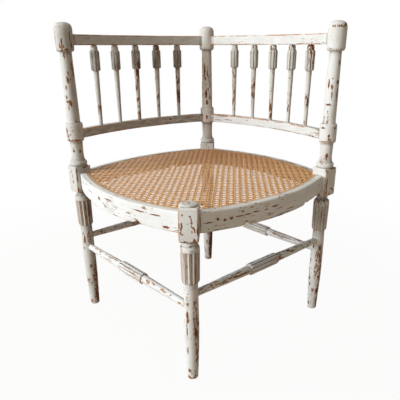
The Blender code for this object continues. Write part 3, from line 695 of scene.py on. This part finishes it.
def railRings(arc, section, parts, shift, joint, dirtBand, lift=None):
    rings = []
    whole = arcLimit(arc, 0.0)
    for part in parts:
        share = max(-1.0, min(1.0, arcAngle(arc, part) / whole))
        shown = max(0.0, min(part, 1 - part) * chord - joint)  # how far it is from the uprights
        ring = []
        for across, height, worn in section:
            angle = share * arcLimit(arc, across)
            z = height + (lift(part, height) if lift else 0.0)
            grain = Vector((across, z, angle * arc["radius"])) + shift
            dent = max(0.0, noise.noise(grain * 130) - 0.1) * worn * trace["railDent"]
            wave = trace["railWave"] * noise.noise(grain * 40)
            spot = arcPoint(arc, angle, across, z)
            spot += arc["outward"] * (wave - dent * 0.7)
            spot.z += wave - dent * 0.4
            # dirt and painted shade darken the rail beside the uprights
            dirt = max(dirtBand(across), 0.6 * math.exp(-(shown / trace["seamDirtAndShade"]) ** 2))
            ring.append((spot, worn, dirt, 0.0, grain))
        rings.append(ring)
    return rings


seatRail = {
    "top": 0.407,
    "foot": 0.361,
    "width": 0.030,
    "border": 0.017,
    "rebate": 0.003,
    "cusp": 0.275,  # part of the length from either end
    "cuspHeight": 0.008,
    "cuspHalf": 0.016,
    "endRise": 0.004,
    "steps": 150,
    "joint": 0.0200,
    "corners": (0.0014, 0.0036, 0.0010, 0.0004, 0.0010, 0.0014),  # radius of each
    "rows": (0.0012, 0.003, 0.006, 0.011),  # extra rows of points beside each corner
    "paint": {"Flakes": 0.27, "Cracks": 0.48, "Rub": 0.22},
    "rawTimberAndShade": 2.0,  # more dirt than paint can hold: near-black raw timber on the inner faces, which is also painted shade behind the cane
    "seamDirtAndShade": {"front": (0.001, 0.5), "back": (0.0032, 1.0)},  # width and amount of the darkening along the cane: dirt, and painted shadow of the rebate's edge at the back
    "chipDepth": 0.005,
    # larger chips in millimetres: distance along from the middle, height, half length and half height
    "chips": {
        "front_left": [
            (-44, 386, 5, 3.5), (2, 393.8, 15, 1.3), (77, 380, 9, 1.4), (112, 392, 20, 1.4),
            (160, 391, 13, 1.5), (183, 368, 8, 3), (98, 370, 5, 1.3), (-171, 395, 8, 2),
            (-101, 390, 12, 1.3),
        ],
        "front_right": [
            (177, 387.6, 3, 3), (161, 384, 4, 3), (146, 385, 5, 3), (124, 385.6, 10, 1.4),
            (104, 386.3, 8, 1.3), (82, 388, 7, 1.6), (53, 386.6, 6, 1.6), (26, 389, 9, 2),
            (3, 362, 9, 2.5), (200, 382.2, 12, 1.3), (217.2, 386, 1.8, 20), (106, 370.7, 5, 1.2),
        ],
    },
}


def apronLift(part, height):
    s = seatRail
    rise = s["endRise"] * max(0.0, min(1.0, (s["cusp"] - part) * chord / s["cuspHalf"]))
    for cusp in (s["cusp"], 1 - s["cusp"]):
        near = 1 - abs(part - cusp) * chord / s["cuspHalf"]
        rise = max(rise, s["cuspHeight"] * max(0.0, near) ** 1.6)
    return rise * max(0.0, min(1.0, (s["foot"] + 0.020 - height) / 0.016))


def makeSeatRail(side):
    s = seatRail
    arc = makeArc(side, plan["seatBow"])
    ledge = s["top"] - s["rebate"]
    points = [(0.0, s["foot"], 1.0), (0.0, s["top"], 0.7), (s["border"], s["top"], 0.5),
              (s["border"], ledge, 0.0), (s["width"], ledge, 0.2), (s["width"], s["foot"], 0.9)]
    section = roundSection(points, s["corners"], s["rows"])
    parts = [k / s["steps"] for k in range(s["steps"] + 1)]
    for cusp in (s["cusp"], 1 - s["cusp"]):
        parts += [cusp + d * s["cuspHalf"] / chord for d in (-0.4, -0.2, -0.08, 0, 0.08, 0.2, 0.4)]
    shift = grainShift()
    marks = []
    for along, height, wide, tall in s["chips"].get(side, ()):
        spot = Vector((0, height / 1000, along / 1000)) + shift
        marks.append((spot, (s["chipDepth"], tall / 1000, wide / 1000), 0.0))
    finish = makeFinish(side.replace("_", "") + "SeatRailPaint", s["paint"], marks)
    seamDirtAndShade, borderDirtAndShade = s["seamDirtAndShade"][side.split("_")[0]]

    def dirtBand(across):
        # raw timber inside, near black, which is also painted shade; and dirt and painted shadow along the
        # cane's border
        if across > s["width"] - 0.001:
            return s["rawTimberAndShade"]
        return borderDirtAndShade if across > s["border"] - seamDirtAndShade else 0.0

    rings = railRings(arc, section, sorted(set(parts)), shift, s["joint"], dirtBand, apronLift)
    obj = makePiece(side.replace("_", "") + "SeatRail", rings, finish)
    seatPiece(obj, "painted_wood", side + "_seat_rail")


backRail = {
    "width": 0.020,
    "lower": (0.4945, 0.5175),
    "top": (0.7215, 0.7465),
    "steps": 110,
    "joint": 0.021,
    "corner": 0.0022,
    "rows": (0.0012, 0.003, 0.006),
    # painted shade: the back-left rails, which face away from the window, are darkened through their dirt
    "paintedShade": {"back_left": {"lower": 0.66, "top": 0.30}, "back_right": {"lower": 0.0, "top": 0.0}},
    "paint": {
        "lower": {"Flakes": 0.29, "Cracks": 0.42, "Rub": 0.36},
        "top": {"Flakes": 0.14, "Cracks": 0.27, "Rub": 0.44},
    },
}


def makeBackRail(side, level, finish):
    b = backRail
    half = b["width"] / 2
    low, high = b[level]
    points = [(-half, low, 0.85), (-half, high, 0.85), (half, high, 0.9), (half, low, 0.85)]
    section = roundSection(points, (b["corner"],) * 4, b["rows"])
    parts = [k / b["steps"] for k in range(b["steps"] + 1)]
    arc = makeArc(side, plan["backBow"])
    rings = railRings(arc, section, parts, grainShift(), b["joint"], lambda across: b["paintedShade"][side][level])
    obj = makePiece(side.replace("_", "") + level.title() + "Rail", rings, finish)
    seatPiece(obj, "painted_wood", side + "_" + level + "_rail")


for side in sides:
    makeSeatRail(side)
railFinish = {level: makeFinish(level + "RailPaint", backRail["paint"][level]) for level in ("lower", "top")}
for side in panels:
    for level, finish in railFinish.items():
        makeBackRail(side, level, finish)
print("rails made")


# stretchers
stretcher = {
    "high": 0.219,
    "low": 0.188,
    "highSides": ("front_right", "back_left"),
    "end": 0.0080,
    "shaft": 0.0110,
    "barrel": 0.0148,
    "barrelHalf": 0.050,
    "flutes": 10,
    "fluteDepth": 0.0015,
    "sides": 140,
    "wobble": 0.00015,
    "ridge": 0.55,
    "ridgeWear": 0.70,
    "fade": 0.7,
    "rub": 0.30,
    "paint": {
        "front_left": {"Flakes": 0.42, "Cracks": 0.20, "Timber": (0.50, 0.265, 0.145, 1)},
        "front_right": {"Flakes": 0.43, "Cracks": 0.38},
        "back_left": {"Flakes": 0.55, "Cracks": 0.34},
        "back_right": {"Flakes": 0.36, "Cracks": 0.40, "Timber": (0.34, 0.15, 0.07, 1)},
    },
    # larger chips: millimetres along from the middle, degrees from the top towards the outside,
    # half length, half width and a least distance
    "chips": {
        "front_left": [
            (76, 45, 6, 4), (82, 62, 5, 3), (100, 40, 7, 2.5), (136, 40, 6, 3.5), (146, 55, 9, 2.5),
            (165, 60, 4, 3), (-153, 30, 5, 3.5), (-120, 20, 3, 2.5), (-114, 80, 20, 1.6),
            (-150, 72, 6, 2), (-22, 36, 24, 1.8, 0.85), (18, 60, 26, 1.8, 0.9),
        ],
        "front_right": [
            (100, 35, 16, 1.6), (120, 62, 20, 1.8), (150, 45, 10, 1.5), (85, 78, 30, 2),
            (170, 40, 8, 1.6), (190, 58, 8, 2), (-95, 30, 8, 3.5), (-110, 62, 14, 2), (-130, 25, 12, 1.8),
            (-150, 45, 10, 1.8), (-170, 30, 10, 1.8),
        ],
        "back_right": [
            (-112, -30, 8, 1.8), (-100, -68, 22, 1.6), (-132, -60, 18, 1.8), (-120, 5, 25, 1.2),
            (20, 10, 30, 1.5),
        ],
    },
}


def stretcherRows():
    s = stretcher
    half = chord / 2 - 0.006
    b = s["barrelHalf"]
    barrel, shaft, depth = s["barrel"], s["shaft"], s["fluteDepth"]
    rows = [row(0.011 * k, barrel, 0, 0, depth) for k in range(5)]
    rows += quarterOut(b, barrel - 0.0030, b - 0.005, barrel, 7, 0.6, 0.5, depth)[::-1]
    rows += rowsFrom(b, (0.0003, shaft - 0.0014, 0, 0.45), (0.0012, shaft - 0.0007, 0.3, 0.2),
                     (0.0026, shaft - 0.0002, 0.5), (0.0045, shaft, 0.1))
    span = half - b - 0.0045
    for t in (k / 26 for k in range(1, 27)):
        radius = shaft + (s["end"] - shaft) * t ** 1.1
        rows.append(row(b + 0.0045 + span * t, radius, 0, 1.25 * max(0.0, t - 0.8)))
    for r in rows:
        r["calm"] *= 1.4
    mirrored = [dict(r, z=-r["z"]) for r in rows[:0:-1]]
    return mirrored + rows


def makeStretcher(side):
    s = stretcher
    start, end = (corners[c] for c in sides[side])
    middle = (start + end) / 2
    middle.z = s["high"] if side in s["highSides"] else s["low"]
    turn = Vector((0, 0, 1)).rotation_difference(end - start).to_matrix().to_4x4()
    shift = grainShift()
    marks = []
    for along, tilt, long, wide, *least in s["chips"].get(side, ()):
        tilt = math.radians(tilt)
        facing = Vector((0, 0, math.cos(tilt))) + (start + end).normalized() * math.sin(tilt)
        radius = s["barrel"] if abs(along) < 1000 * s["barrelHalf"] else s["shaft"]
        spot = turn.inverted() @ facing * radius + Vector((0, 0, along / 1000))
        marks.append(chipMark(spot + shift, wide, long, *least))
    amounts = {"Rub": s["rub"], **s["paint"][side]}
    finish = makeFinish(side.replace("_", "") + "StretcherPaint", amounts, marks)
    rings = latheRings(stretcherRows(), s, Matrix.Translation(middle) @ turn, shift)
    obj = makePiece(side.replace("_", "") + "Stretcher", rings, finish)
    seatPiece(obj, "painted_wood", side + "_stretcher")


for side in sides:
    makeStretcher(side)
print("stretchers made")


# geometry nodes helpers
def runTree(obj, tree, values):
    # the modifier's result becomes the object's own plain mesh
    mod = obj.modifiers.new(tree.name, "NODES")
    mod.node_group = tree
    for item in tree.interface.items_tree:
        if item.in_out == "INPUT" and item.name in values:
            mod[item.identifier] = values[item.name]
    shown = obj.evaluated_get(bpy.context.evaluated_depsgraph_get())
    mesh = bpy.data.meshes.new_from_object(shown)
    mesh.name = obj.name
    obj.modifiers.remove(mod)
    obj.data = mesh


def pointsObject(name, points, edges=()):
    mesh = bpy.data.meshes.new(name)
    mesh.from_pydata(points, edges, [])
    obj = bpy.data.objects.new(name, mesh)
    scene.collection.objects.link(obj)
    return obj


def storeNode(tree, label, geometry, value, kind, domain):
    inputs = {"Name": label, "Geometry": geometry, "Value": value}
    return addNode(tree, "GeometryNodeStoreNamedAttribute", inputs, data_type=kind, domain=domain).outputs[0]


def readNode(tree, label, kind):
    return addNode(tree, "GeometryNodeInputNamedAttribute", {"Name": label}, data_type=kind).outputs[0]


def realNode(tree, geometry):
    return addNode(tree, "GeometryNodeRealizeInstances", {0: geometry}).outputs[0]


def dressNode(tree, geometry, finish):
    return addNode(tree, "GeometryNodeSetMaterial", {"Geometry": geometry, "Material": finish}).outputs[0]


# spindles: one turned pattern, set along each panel's arc
spindle = {
    "count": 5,
    "spacing": 0.069,
    "foot": 0.5175,
    "head": 0.7212,
    "end": 0.0048,
    "shaft": 0.0072,
    "bulb": 0.0125,
    "bulbFoot": 0.6582,
    "bulbTop": 0.7092,
    "dome": 0.0093,
    "flutes": 8,
    "glazeAndShade": {"back_left": 0.78, "back_right": 0.16},  # old dirt left in the flutes, and painted shade: the back-left panel, which stands in shade, is darkened all over
    "fluteDepth": 0.0018,
    "ridge": 0.5,
    "ridgeWear": 0.55,
    "fade": 0.6,
    "wobble": 0.0001,
    "sides": 128,
    # the spindles' paint is darker than the uprights': painted shade
    "paint": {"Flakes": 0.64, "Cracks": 0.32, "Rub": 0.26, "Paint": (0.74, 0.74, 0.70, 1)},
}


def spindleRows():
    s = spindle
    foot, bulbFoot, bulbTop, depth = s["foot"], s["bulbFoot"], s["bulbTop"], s["fluteDepth"]
    rows = [row(foot - 0.006, s["end"]), row(foot + 0.0003, s["end"] + 0.0001, 0, 0.6)]
    line = [(foot + 0.003, s["end"] + 0.0001), (0.57, 0.0056), (0.62, 0.0066), (bulbFoot, s["shaft"])]
    rows += smoothShaft(line, 0.005)
    rows[-1]["dirt"] = 0.6
    start, waist = bulbFoot + 0.0045, s["bulb"] - 0.0003
    rows += quarterOut(bulbFoot + 0.0002, s["shaft"] + 0.001, start, waist, 6, 0.5, 0.4, depth)
    rows += [row(start + 0.0405 * k / 6, waist + 0.0003 * k / 6, 0, 0, depth) for k in range(1, 7)]
    neck = s["dome"] + 0.0003
    for k in range(1, 6):
        t = k / 5
        radius = neck + (s["bulb"] - s["dome"] - 0.0003) * math.cos(0.5 * math.pi * t)
        rows.append(row(bulbTop - 0.0060 * (1 - t), radius, 0.4, 0.3 * t, depth * (1 - t)))
    rows += [row(bulbTop + 0.0003, s["dome"] - 0.0003, 0, 0.7), row(bulbTop + 0.002, s["dome"], 0, 0.2)]
    rows += quarterIn(bulbTop + 0.006, s["dome"], s["head"], s["end"] + 0.001, 6, 0.3, 0.6)
    rows.append(row(s["head"] + 0.006, s["end"]))
    return rows


def makeSpindleTree():
    takes = (("Geometry", "Geometry"), ("Pattern", "Object"), ("Seed", "Int", 3), ("Finish", "Material"))
    tree, given, out = newTree("spindleRow", "Geometry", takes, (("Geometry", "Geometry"),))
    pattern = addNode(tree, "GeometryNodeObjectInfo", {"Object": given["Pattern"]}).outputs["Geometry"]
    turn = addNode(tree, "FunctionNodeRandomValue", {3: math.tau, "Seed": given["Seed"]}, data_type="FLOAT")
    spin = addNode(tree, "ShaderNodeCombineXYZ", {"Z": turn.outputs[1]}).outputs[0]
    inputs = {"Points": given["Geometry"], "Instance": pattern, "Rotation": spin}
    copies = addNode(tree, "GeometryNodeInstanceOnPoints", inputs).outputs[0]
    # each copy reads another part of the paint's pattern
    inputs = {1: (9, 9, 9), "Seed": given["Seed"]}
    shift = addNode(tree, "FunctionNodeRandomValue", inputs, data_type="FLOAT_VECTOR").outputs[0]
    copies = storeNode(tree, "copyShift", copies, shift, "FLOAT_VECTOR", "INSTANCE")
    real = realNode(tree, copies)
    grain, moved = (readNode(tree, label, "FLOAT_VECTOR") for label in ("grain", "copyShift"))
    grain = vectorNode(tree, "ADD", grain, moved)
    real = storeNode(tree, "grain", real, grain, "FLOAT_VECTOR", "POINT")
    plug(tree, out["Geometry"], dressNode(tree, real, given["Finish"]))
    return tree


def makeSpindles():
    s = spindle
    tree = makeSpindleTree()
    finish = makeFinish("spindlePaint", s["paint"])
    middle = (s["count"] - 1) / 2
    for seed, side in enumerate(panels):
        rings = latheRings(spindleRows(), s, Matrix.Identity(4), grainShift(), s["glazeAndShade"][side])
        pattern = makePiece("spindlePattern", rings, finish)
        arc = makeArc(side, plan["backBow"])
        parts = [0.5 + (k - middle) * s["spacing"] / chord for k in range(s["count"])]
        spots = [arcPoint(arc, arcAngle(arc, part)) for part in parts]
        obj = pointsObject(side.replace("_", "") + "Spindles", spots)
        runTree(obj, tree, {"Pattern": pattern, "Seed": 3 + seed, "Finish": finish})
        seatPiece(obj, "painted_wood", *(side + "_spindle_" + str(k + 1) for k in range(s["count"])))
        bpy.data.objects.remove(pattern)


makeSpindles()
print("spindles made")


# caned seat
cane = {
    "pitch": 0.015,
    "pair": 0.0023,  # half the distance between the two strands of a pair, front to back and sideways
    "sidePair": 0.0020,
    "inset": 0.0205,  # from the rails' outer faces to the holes
    "height": 0.4056,
    "strand": 0.0027,
    "sideStrand": 0.0024,
    "diagonal": 0.0026,
    "thick": 0.0008,
    "sideThick": 0.0014,
    "wave": 0.0005,
    "slantWave": 0.0007,
    "slantCount": 46,  # slanting strands on each side of the middle
    "frontTone": 0.05,
    "slantTone": 0.42,  # darker than the straight ones
    "stray": 0.0032,  # width of the band in which an old strand wanders
    "sag": 0.0025,
    "swell": 0.17,
    "binder": 0.0046,
    "binderThick": 0.0009,
    "binderStep": 0.004,
    "loopReach": 0.0033,
    "loopStep": 0.0009,
}


def makeCaneFinish():
    mat, tree, shader = newMaterial("caneStrands")
    coord = addNode(tree, "ShaderNodeTexCoord").outputs["Object"]
    lot = addNode(tree, "ShaderNodeAttribute", attribute_name="strand").outputs["Fac"]
    age = rangeNode(tree, noiseNode(tree, coord, 9, 4.0, 0.6), 0.3, 0.7)
    spots = rangeNode(tree, noiseNode(tree, coord, 240, 3.0, 0.6), 0.42, 0.75)
    colour = mixColour(tree, lot, (1.0, 0.63, 0.31, 1), (0.62, 0.24, 0.08, 1))
    colour = mixColour(tree, mathNode(tree, "MULTIPLY", age, 0.06), colour, (0.52, 0.26, 0.11, 1))
    colour = mixColour(tree, mathNode(tree, "MULTIPLY", spots, 0.17), colour, (0.24, 0.09, 0.032, 1))
    # browner towards the back and the left: painted shade, where the seat lies in shade
    place = addNode(tree, "ShaderNodeSeparateXYZ", {0: coord}).outputs
    left = mathNode(tree, "MULTIPLY_ADD", place["X"], -1.0, -0.11)
    far = rangeNode(tree, mathNode(tree, "MAXIMUM", left, place["Y"]), 0.02, 0.27, 0.0, 0.40)
    colour = mixColour(tree, far, colour, (0.42, 0.15, 0.056, 1))
    # painted shade: darker along the flanks and undersides of the strands, by how far they face away from up
    facing = addNode(tree, "ShaderNodeNewGeometry").outputs["Normal"]
    facing = addNode(tree, "ShaderNodeSeparateXYZ", {0: facing}).outputs["Z"]
    colour = mixColour(tree, rangeNode(tree, facing, 0.0, 0.92, 1.0, 0.0), colour, (0.11, 0.034, 0.012, 1))
    plug(tree, shader["Base Color"], colour)
    plug(tree, shader["Roughness"], mathNode(tree, "MULTIPLY_ADD", spots, 0.25, 0.42))
    plug(tree, shader["Normal"], bumpNode(tree, spots, 0.4, 0.0003))
    return mat


def makeStrandTree():
    # strands: straight lines made into flat canes that pass over and under at each crossing
    takes = [("Geometry", "Geometry"), ("Heading", "Vector", (1, 0, 0)), ("Cross", "Vector", (0, 1, 0)),
             ("Seed", "Int", 1), ("Finish", "Material"), ("Period", "Float", 0.03),
             ("Sag Reach", "Float", 0.25), ("Sink", "Float", 0.003)]
    amounts = ("Step", "Width", "Thickness", "Wave", "Sag", "Stray", "Tone", "Swell")
    takes += [(label, "Float", 0.0) for label in amounts]
    tree, given, out = newTree("caneStrands", "Geometry", takes, (("Geometry", "Geometry"),))
    lines = addNode(tree, "GeometryNodeMeshToCurve", {0: given["Geometry"]}).outputs[0]
    lot = addNode(tree, "FunctionNodeRandomValue", {"Seed": given["Seed"]}, data_type="FLOAT").outputs[1]
    lot = mathNode(tree, "MULTIPLY_ADD", lot, 0.35, given["Tone"])
    lines = storeNode(tree, "strand", lines, lot, "FLOAT", "CURVE")
    inputs = {"Curve": lines, "Length": given["Step"]}
    lines = addNode(tree, "GeometryNodeResampleCurve", inputs, mode="LENGTH").outputs[0]

    # height along the strand: a wave of the crossings, whose phase turns from strand to strand
    place = addNode(tree, "GeometryNodeInputPosition").outputs[0]
    along = vectorNode(tree, "DOT_PRODUCT", place, given["Heading"])
    aside = vectorNode(tree, "DOT_PRODUCT", place, given["Cross"])
    phase = mathNode(tree, "DIVIDE", mathNode(tree, "ADD", along, aside), given["Period"])
    wave = mathNode(tree, "COSINE", mathNode(tree, "MULTIPLY", phase, math.tau))
    wave = mathNode(tree, "MULTIPLY", wave, given["Wave"])

    # the middle of an old seat hangs a little, and each end goes down its hole
    away = vectorNode(tree, "LENGTH", vectorNode(tree, "MULTIPLY", place, (1, 1, 0)))
    away = mathNode(tree, "DIVIDE", away, given["Sag Reach"])
    hang = mathNode(tree, "SUBTRACT", 1.0, mathNode(tree, "MULTIPLY", away, away), clamp=True)
    wave = mathNode(tree, "SUBTRACT", wave, mathNode(tree, "MULTIPLY", hang, given["Sag"]))
    ends = addNode(tree, "GeometryNodeCurveEndpointSelection").outputs[0]
    wave = mathNode(tree, "SUBTRACT", wave, mathNode(tree, "MULTIPLY", ends, given["Sink"]))
    lift = addNode(tree, "ShaderNodeCombineXYZ", {"Z": wave}).outputs[0]

    # no strand lies quite straight: a slow wander to the side, another one for each
    own = mathNode(tree, "MULTIPLY", readNode(tree, "strand", "FLOAT"), 40.0)
    spot = vectorNode(tree, "MULTIPLY_ADD", given["Cross"], own, place)
    wander = addNode(tree, "ShaderNodeTexNoise", {"Vector": spot, "Scale": 22, "Detail": 1}).outputs["Fac"]
    wander = mathNode(tree, "MULTIPLY", mathNode(tree, "SUBTRACT", wander, 0.5), given["Stray"])
    offset = vectorNode(tree, "MULTIPLY_ADD", given["Cross"], wander, lift)
    lines = addNode(tree, "GeometryNodeSetPosition", {"Geometry": lines, "Offset": offset}).outputs[0]
    lines = addNode(tree, "GeometryNodeSetCurveNormal", {"Curve": lines}, mode="Z_UP").outputs[0]

    # flat oval section; sitting has opened the weave in the middle, and towards the rails it is closer
    oval = addNode(tree, "GeometryNodeCurvePrimitiveCircle", {"Resolution": 6, "Radius": 0.5}, mode="RADIUS")
    size = addNode(tree, "ShaderNodeCombineXYZ", {"X": given["Width"], "Y": given["Thickness"], "Z": 1})
    inputs = {"Geometry": oval.outputs[0], "Scale": size.outputs[0]}
    oval = addNode(tree, "GeometryNodeTransform", inputs).outputs[0]
    swell = mathNode(tree, "MULTIPLY_ADD", mathNode(tree, "SUBTRACT", 1.0, hang), given["Swell"], 1.0)
    inputs = {"Curve": lines, "Profile Curve": oval, "Scale": swell, "Fill Caps": True}
    body = addNode(tree, "GeometryNodeCurveToMesh", inputs).outputs[0]
    body = addNode(tree, "GeometryNodeSetShadeSmooth", {"Geometry": body}).outputs[0]
    plug(tree, out["Geometry"], dressNode(tree, realNode(tree, body), given["Finish"]))
    return tree


seatArcs = [makeArc(side, plan["seatBow"]) for side in sides]


def strandEnds(heading, offset, inset):
    # where a straight strand enters and leaves the seat, as distances along it
    side = Vector((-heading.y, heading.x, 0))
    start = side * offset
    low, high = -1.0, 1.0
    for arc in seatArcs:
        to = arc["outward"] * arc["shift"] - start
        r = arc["radius"] - inset
        along, across = to.dot(heading), to.dot(side)
        if abs(across) >= r:
            return None
        h = math.sqrt(r * r - across * across)
        low, high = max(low, along - h), min(high, along + h)
    if high - low < 0.01:
        return None
    return start + heading * low, start + heading * high


def strandLines(name, heading, offsets):
    points, edges = [], []
    for offset in offsets:
        ends = strandEnds(heading, offset, cane["inset"])
        if ends:
            edges.append((len(points), len(points) + 1))
            points += [Vector((p.x, p.y, cane["height"])) for p in ends]
    return pointsObject(name, points, edges)


def borderLines():
    # one strip along each rail, and the loops that hold it down, one at each hole
    c = cane
    strip, loops = ([], []), ([], [])
    for arc in seatArcs:
        limit = arcLimit(arc, c["inset"])
        count = round(2 * limit * (arc["radius"] - c["inset"]) / c["pitch"])
        for k in range(4 * count + 1):
            if k:
                strip[1].append((len(strip[0]) - 1, len(strip[0])))
            strip[0].append(arcPoint(arc, limit * (k / (2 * count) - 1), c["inset"], c["height"] + 0.0004))
        for k in range(count):
            angle = limit * (2 * (k + 0.5) / count - 1)
            start = len(loops[0])
            for across, lift in ((-1, -0.0008), (-0.7, 0.0006), (0, 0.0011), (0.7, 0.0006), (1, -0.0008)):
                spot = arcPoint(arc, angle, c["inset"] + across * c["loopReach"], c["height"] + lift)
                loops[0].append(spot)
            loops[1].extend((start + k, start + k + 1) for k in range(4))
    return strip, loops


def makeCane():
    c = cane
    finish = makeCaneFinish()
    tree = makeStrandTree()
    pitch = c["pitch"]
    slantPitch = pitch / math.sqrt(2)
    count = int(plan["reach"] / pitch) + 4
    pairs, sidePairs = ([k * pitch + d for k in range(-count, count + 1) for d in (-half, half)]
                        for half in (c["pair"], c["sidePair"]))
    slant = [(k + 0.5) * slantPitch for k in range(-c["slantCount"], c["slantCount"])]
    # the two straight sets rise and fall against each other; the slanting sets pass between them
    straight = ("caneFrontBack", (0, 1, 0), pairs, pitch, c["strand"], c["thick"], c["wave"], c["frontTone"])
    sideways = ("caneSideways", (1, 0, 0), sidePairs, pitch, c["sideStrand"], c["sideThick"], -c["wave"], 0.0)
    slanting = (slant, slantPitch, c["diagonal"], c["thick"], -c["slantWave"], c["slantTone"])
    sets = (straight, sideways, ("caneRising", (1, 1, 0), *slanting), ("caneFalling", (1, -1, 0), *slanting))
    made = []
    for seed, (name, heading, offsets, step, width, thick, wave, tone) in enumerate(sets):
        heading = Vector(heading).normalized()
        obj = strandLines(name, heading, offsets)
        cross = Vector((-heading.y, heading.x, 0))
        runTree(obj, tree, {"Step": step / 2, "Width": width, "Thickness": thick, "Wave": wave, "Tone": tone,
                            "Period": 2 * step, "Heading": heading, "Cross": cross, "Sag": c["sag"],
                            "Stray": c["stray"], "Swell": c["swell"], "Seed": seed, "Finish": finish})
        made.append(obj)
    strip, loops = borderLines()
    for seed, (name, lines, step, width, thick) in enumerate((
            ("caneBinder", strip, c["binderStep"], c["binder"], c["binderThick"]),
            ("caneLoops", loops, c["loopStep"], c["strand"], c["thick"]))):
        obj = pointsObject(name, *lines)
        runTree(obj, tree, {"Step": step, "Width": width, "Thickness": thick, "Wave": 0.0, "Sink": 0.0,
                            "Seed": 7 + seed, "Finish": finish})
        made.append(obj)
    for obj in made:
        seatPiece(obj, "cane", "cane_seat")
        print(obj.name, len(obj.data.polygons))


makeCane()
print("cane made")


# camera at the photograph's place
view = {
    "place": (0.0884, -1.1916, 0.7176),
    "yaw": 2.767,
    "down": 23.096,
    "roll": -0.200,
    "frame": 400,  # pixels
    "focal": 455.53,
    "centre": (212.18, 240.69),
    "sensor": 36,
}


def makeCamera():
    v = view
    yaw, down, roll = (math.radians(v[k]) for k in ("yaw", "down", "roll"))
    ahead = Vector((-math.sin(yaw) * math.cos(down), math.cos(yaw) * math.cos(down), -math.sin(down)))
    right = Vector((math.cos(yaw), math.sin(yaw), 0))
    up = right.cross(ahead)
    right, up = right * math.cos(roll) + up * math.sin(roll), up * math.cos(roll) - right * math.sin(roll)
    cam = bpy.data.cameras.new("camera")
    cam.sensor_width = v["sensor"]
    cam.lens = v["focal"] / v["frame"] * v["sensor"]
    cam.shift_x = (v["frame"] / 2 - v["centre"][0]) / v["frame"]
    cam.shift_y = (v["centre"][1] - v["frame"] / 2) / v["frame"]
    obj = bpy.data.objects.new("camera", cam)
    obj.matrix_world = Matrix.Translation(v["place"]) @ Matrix((right, up, -ahead)).transposed().to_4x4()
    scene.collection.objects.link(obj)
    scene.camera = obj


# pale floor, white surroundings and four lamps that all aim at the seat
stage = {
    "floorHalf": 8,
    "floorColour": (0.42, 0.29, 0.17, 1),
    "near": (0.5, 0.955),  # distance from the chair, and how white the floor looks there
    "far": (1.5, 1.0),
    "fill": 0.014,
    "fillColour": (1.0, 0.72, 0.45, 1),
    "aim": (0, 0, 0.4),
    # place, size, power and colour
    "lamps": {
        "window": ((-3.03, -1.75, 1.25), (1.5, 0.9), 132, (0.89, 0.95, 1.0)),
        "reflector": ((1.15, -1.15, 0.5), (1.0, 1.0), 3.1, (1.0, 0.90, 0.76)),
        "ceiling": ((-0.7, -0.9, 3.4), (3.0, 3.0), 68, (1.0, 0.94, 0.84)),
        "wallBehind": ((-1.6, 3.0, 1.3), (2.4, 2.4), 42, (1.0, 0.95, 0.88)),
    },
}


def mixSeen(tree, rays, white, plain, bright, output):
    # rays that look straight at it see the bright shader by the white share, all others the plain one
    seen = addNode(tree, "ShaderNodeLightPath").outputs
    looked = seen[rays[0]]
    for ray in rays[1:]:
        looked = mathNode(tree, "MAXIMUM", looked, seen[ray])
    share = mathNode(tree, "MULTIPLY", looked, white)
    mix = addNode(tree, "ShaderNodeMixShader", {0: share, 1: plain.outputs[0], 2: bright.outputs[0]})
    plug(tree, tree.nodes[output].inputs["Surface"], mix.outputs[0])


def makeFloor():
    h = stage["floorHalf"]
    mesh = bpy.data.meshes.new("floor")
    mesh.from_pydata([(-h, -h, 0), (h, -h, 0), (h, h, 0), (-h, h, 0)], [], [(0, 1, 2, 3)])
    floor = bpy.data.objects.new("floor", mesh)
    scene.collection.objects.link(floor)
    mat, tree, shader = newMaterial("floorWhite")
    plug(tree, shader["Base Color"], stage["floorColour"])
    plug(tree, shader["Roughness"], 0.9)
    # the floor keeps a faint shadow near the chair and goes over into the white behind it
    coord = addNode(tree, "ShaderNodeTexCoord").outputs["Object"]
    (near, low), (far, high) = stage["near"], stage["far"]
    white = rangeNode(tree, vectorNode(tree, "LENGTH", coord), near, far, low, high)
    rays = ("Is Camera Ray", "Is Glossy Ray", "Is Transmission Ray")
    glow = addNode(tree, "ShaderNodeEmission")
    mixSeen(tree, rays, white, tree.nodes["Principled BSDF"], glow, "Material Output")
    mesh.materials.append(mat)


def makeLight(name, place, size, power, colour):
    lamp = bpy.data.lights.new(name, "AREA")
    lamp.shape = "RECTANGLE"
    lamp.size, lamp.size_y = size
    lamp.energy = power
    lamp.color = colour
    obj = bpy.data.objects.new(name, lamp)
    turn = (Vector(stage["aim"]) - Vector(place)).to_track_quat("-Z", "Y")
    obj.matrix_world = Matrix.Translation(place) @ turn.to_matrix().to_4x4()
    scene.collection.objects.link(obj)


def makeWorld():
    world = bpy.data.worlds.new("studio")
    scene.world = world
    world.use_nodes = True
    tree = world.node_tree
    fill = tree.nodes["Background"]
    plug(tree, fill.inputs["Color"], stage["fillColour"])
    plug(tree, fill.inputs["Strength"], stage["fill"])
    white = addNode(tree, "ShaderNodeBackground", {"Color": (1, 1, 1, 1)})
    mixSeen(tree, ("Is Camera Ray", "Is Transmission Ray"), 1.0, fill, white, "World Output")


makeCamera()
makeFloor()
for name, lamp in stage["lamps"].items():
    makeLight(name, *lamp)
makeWorld()
scene.view_settings.view_transform = "Standard"
print("stage made")
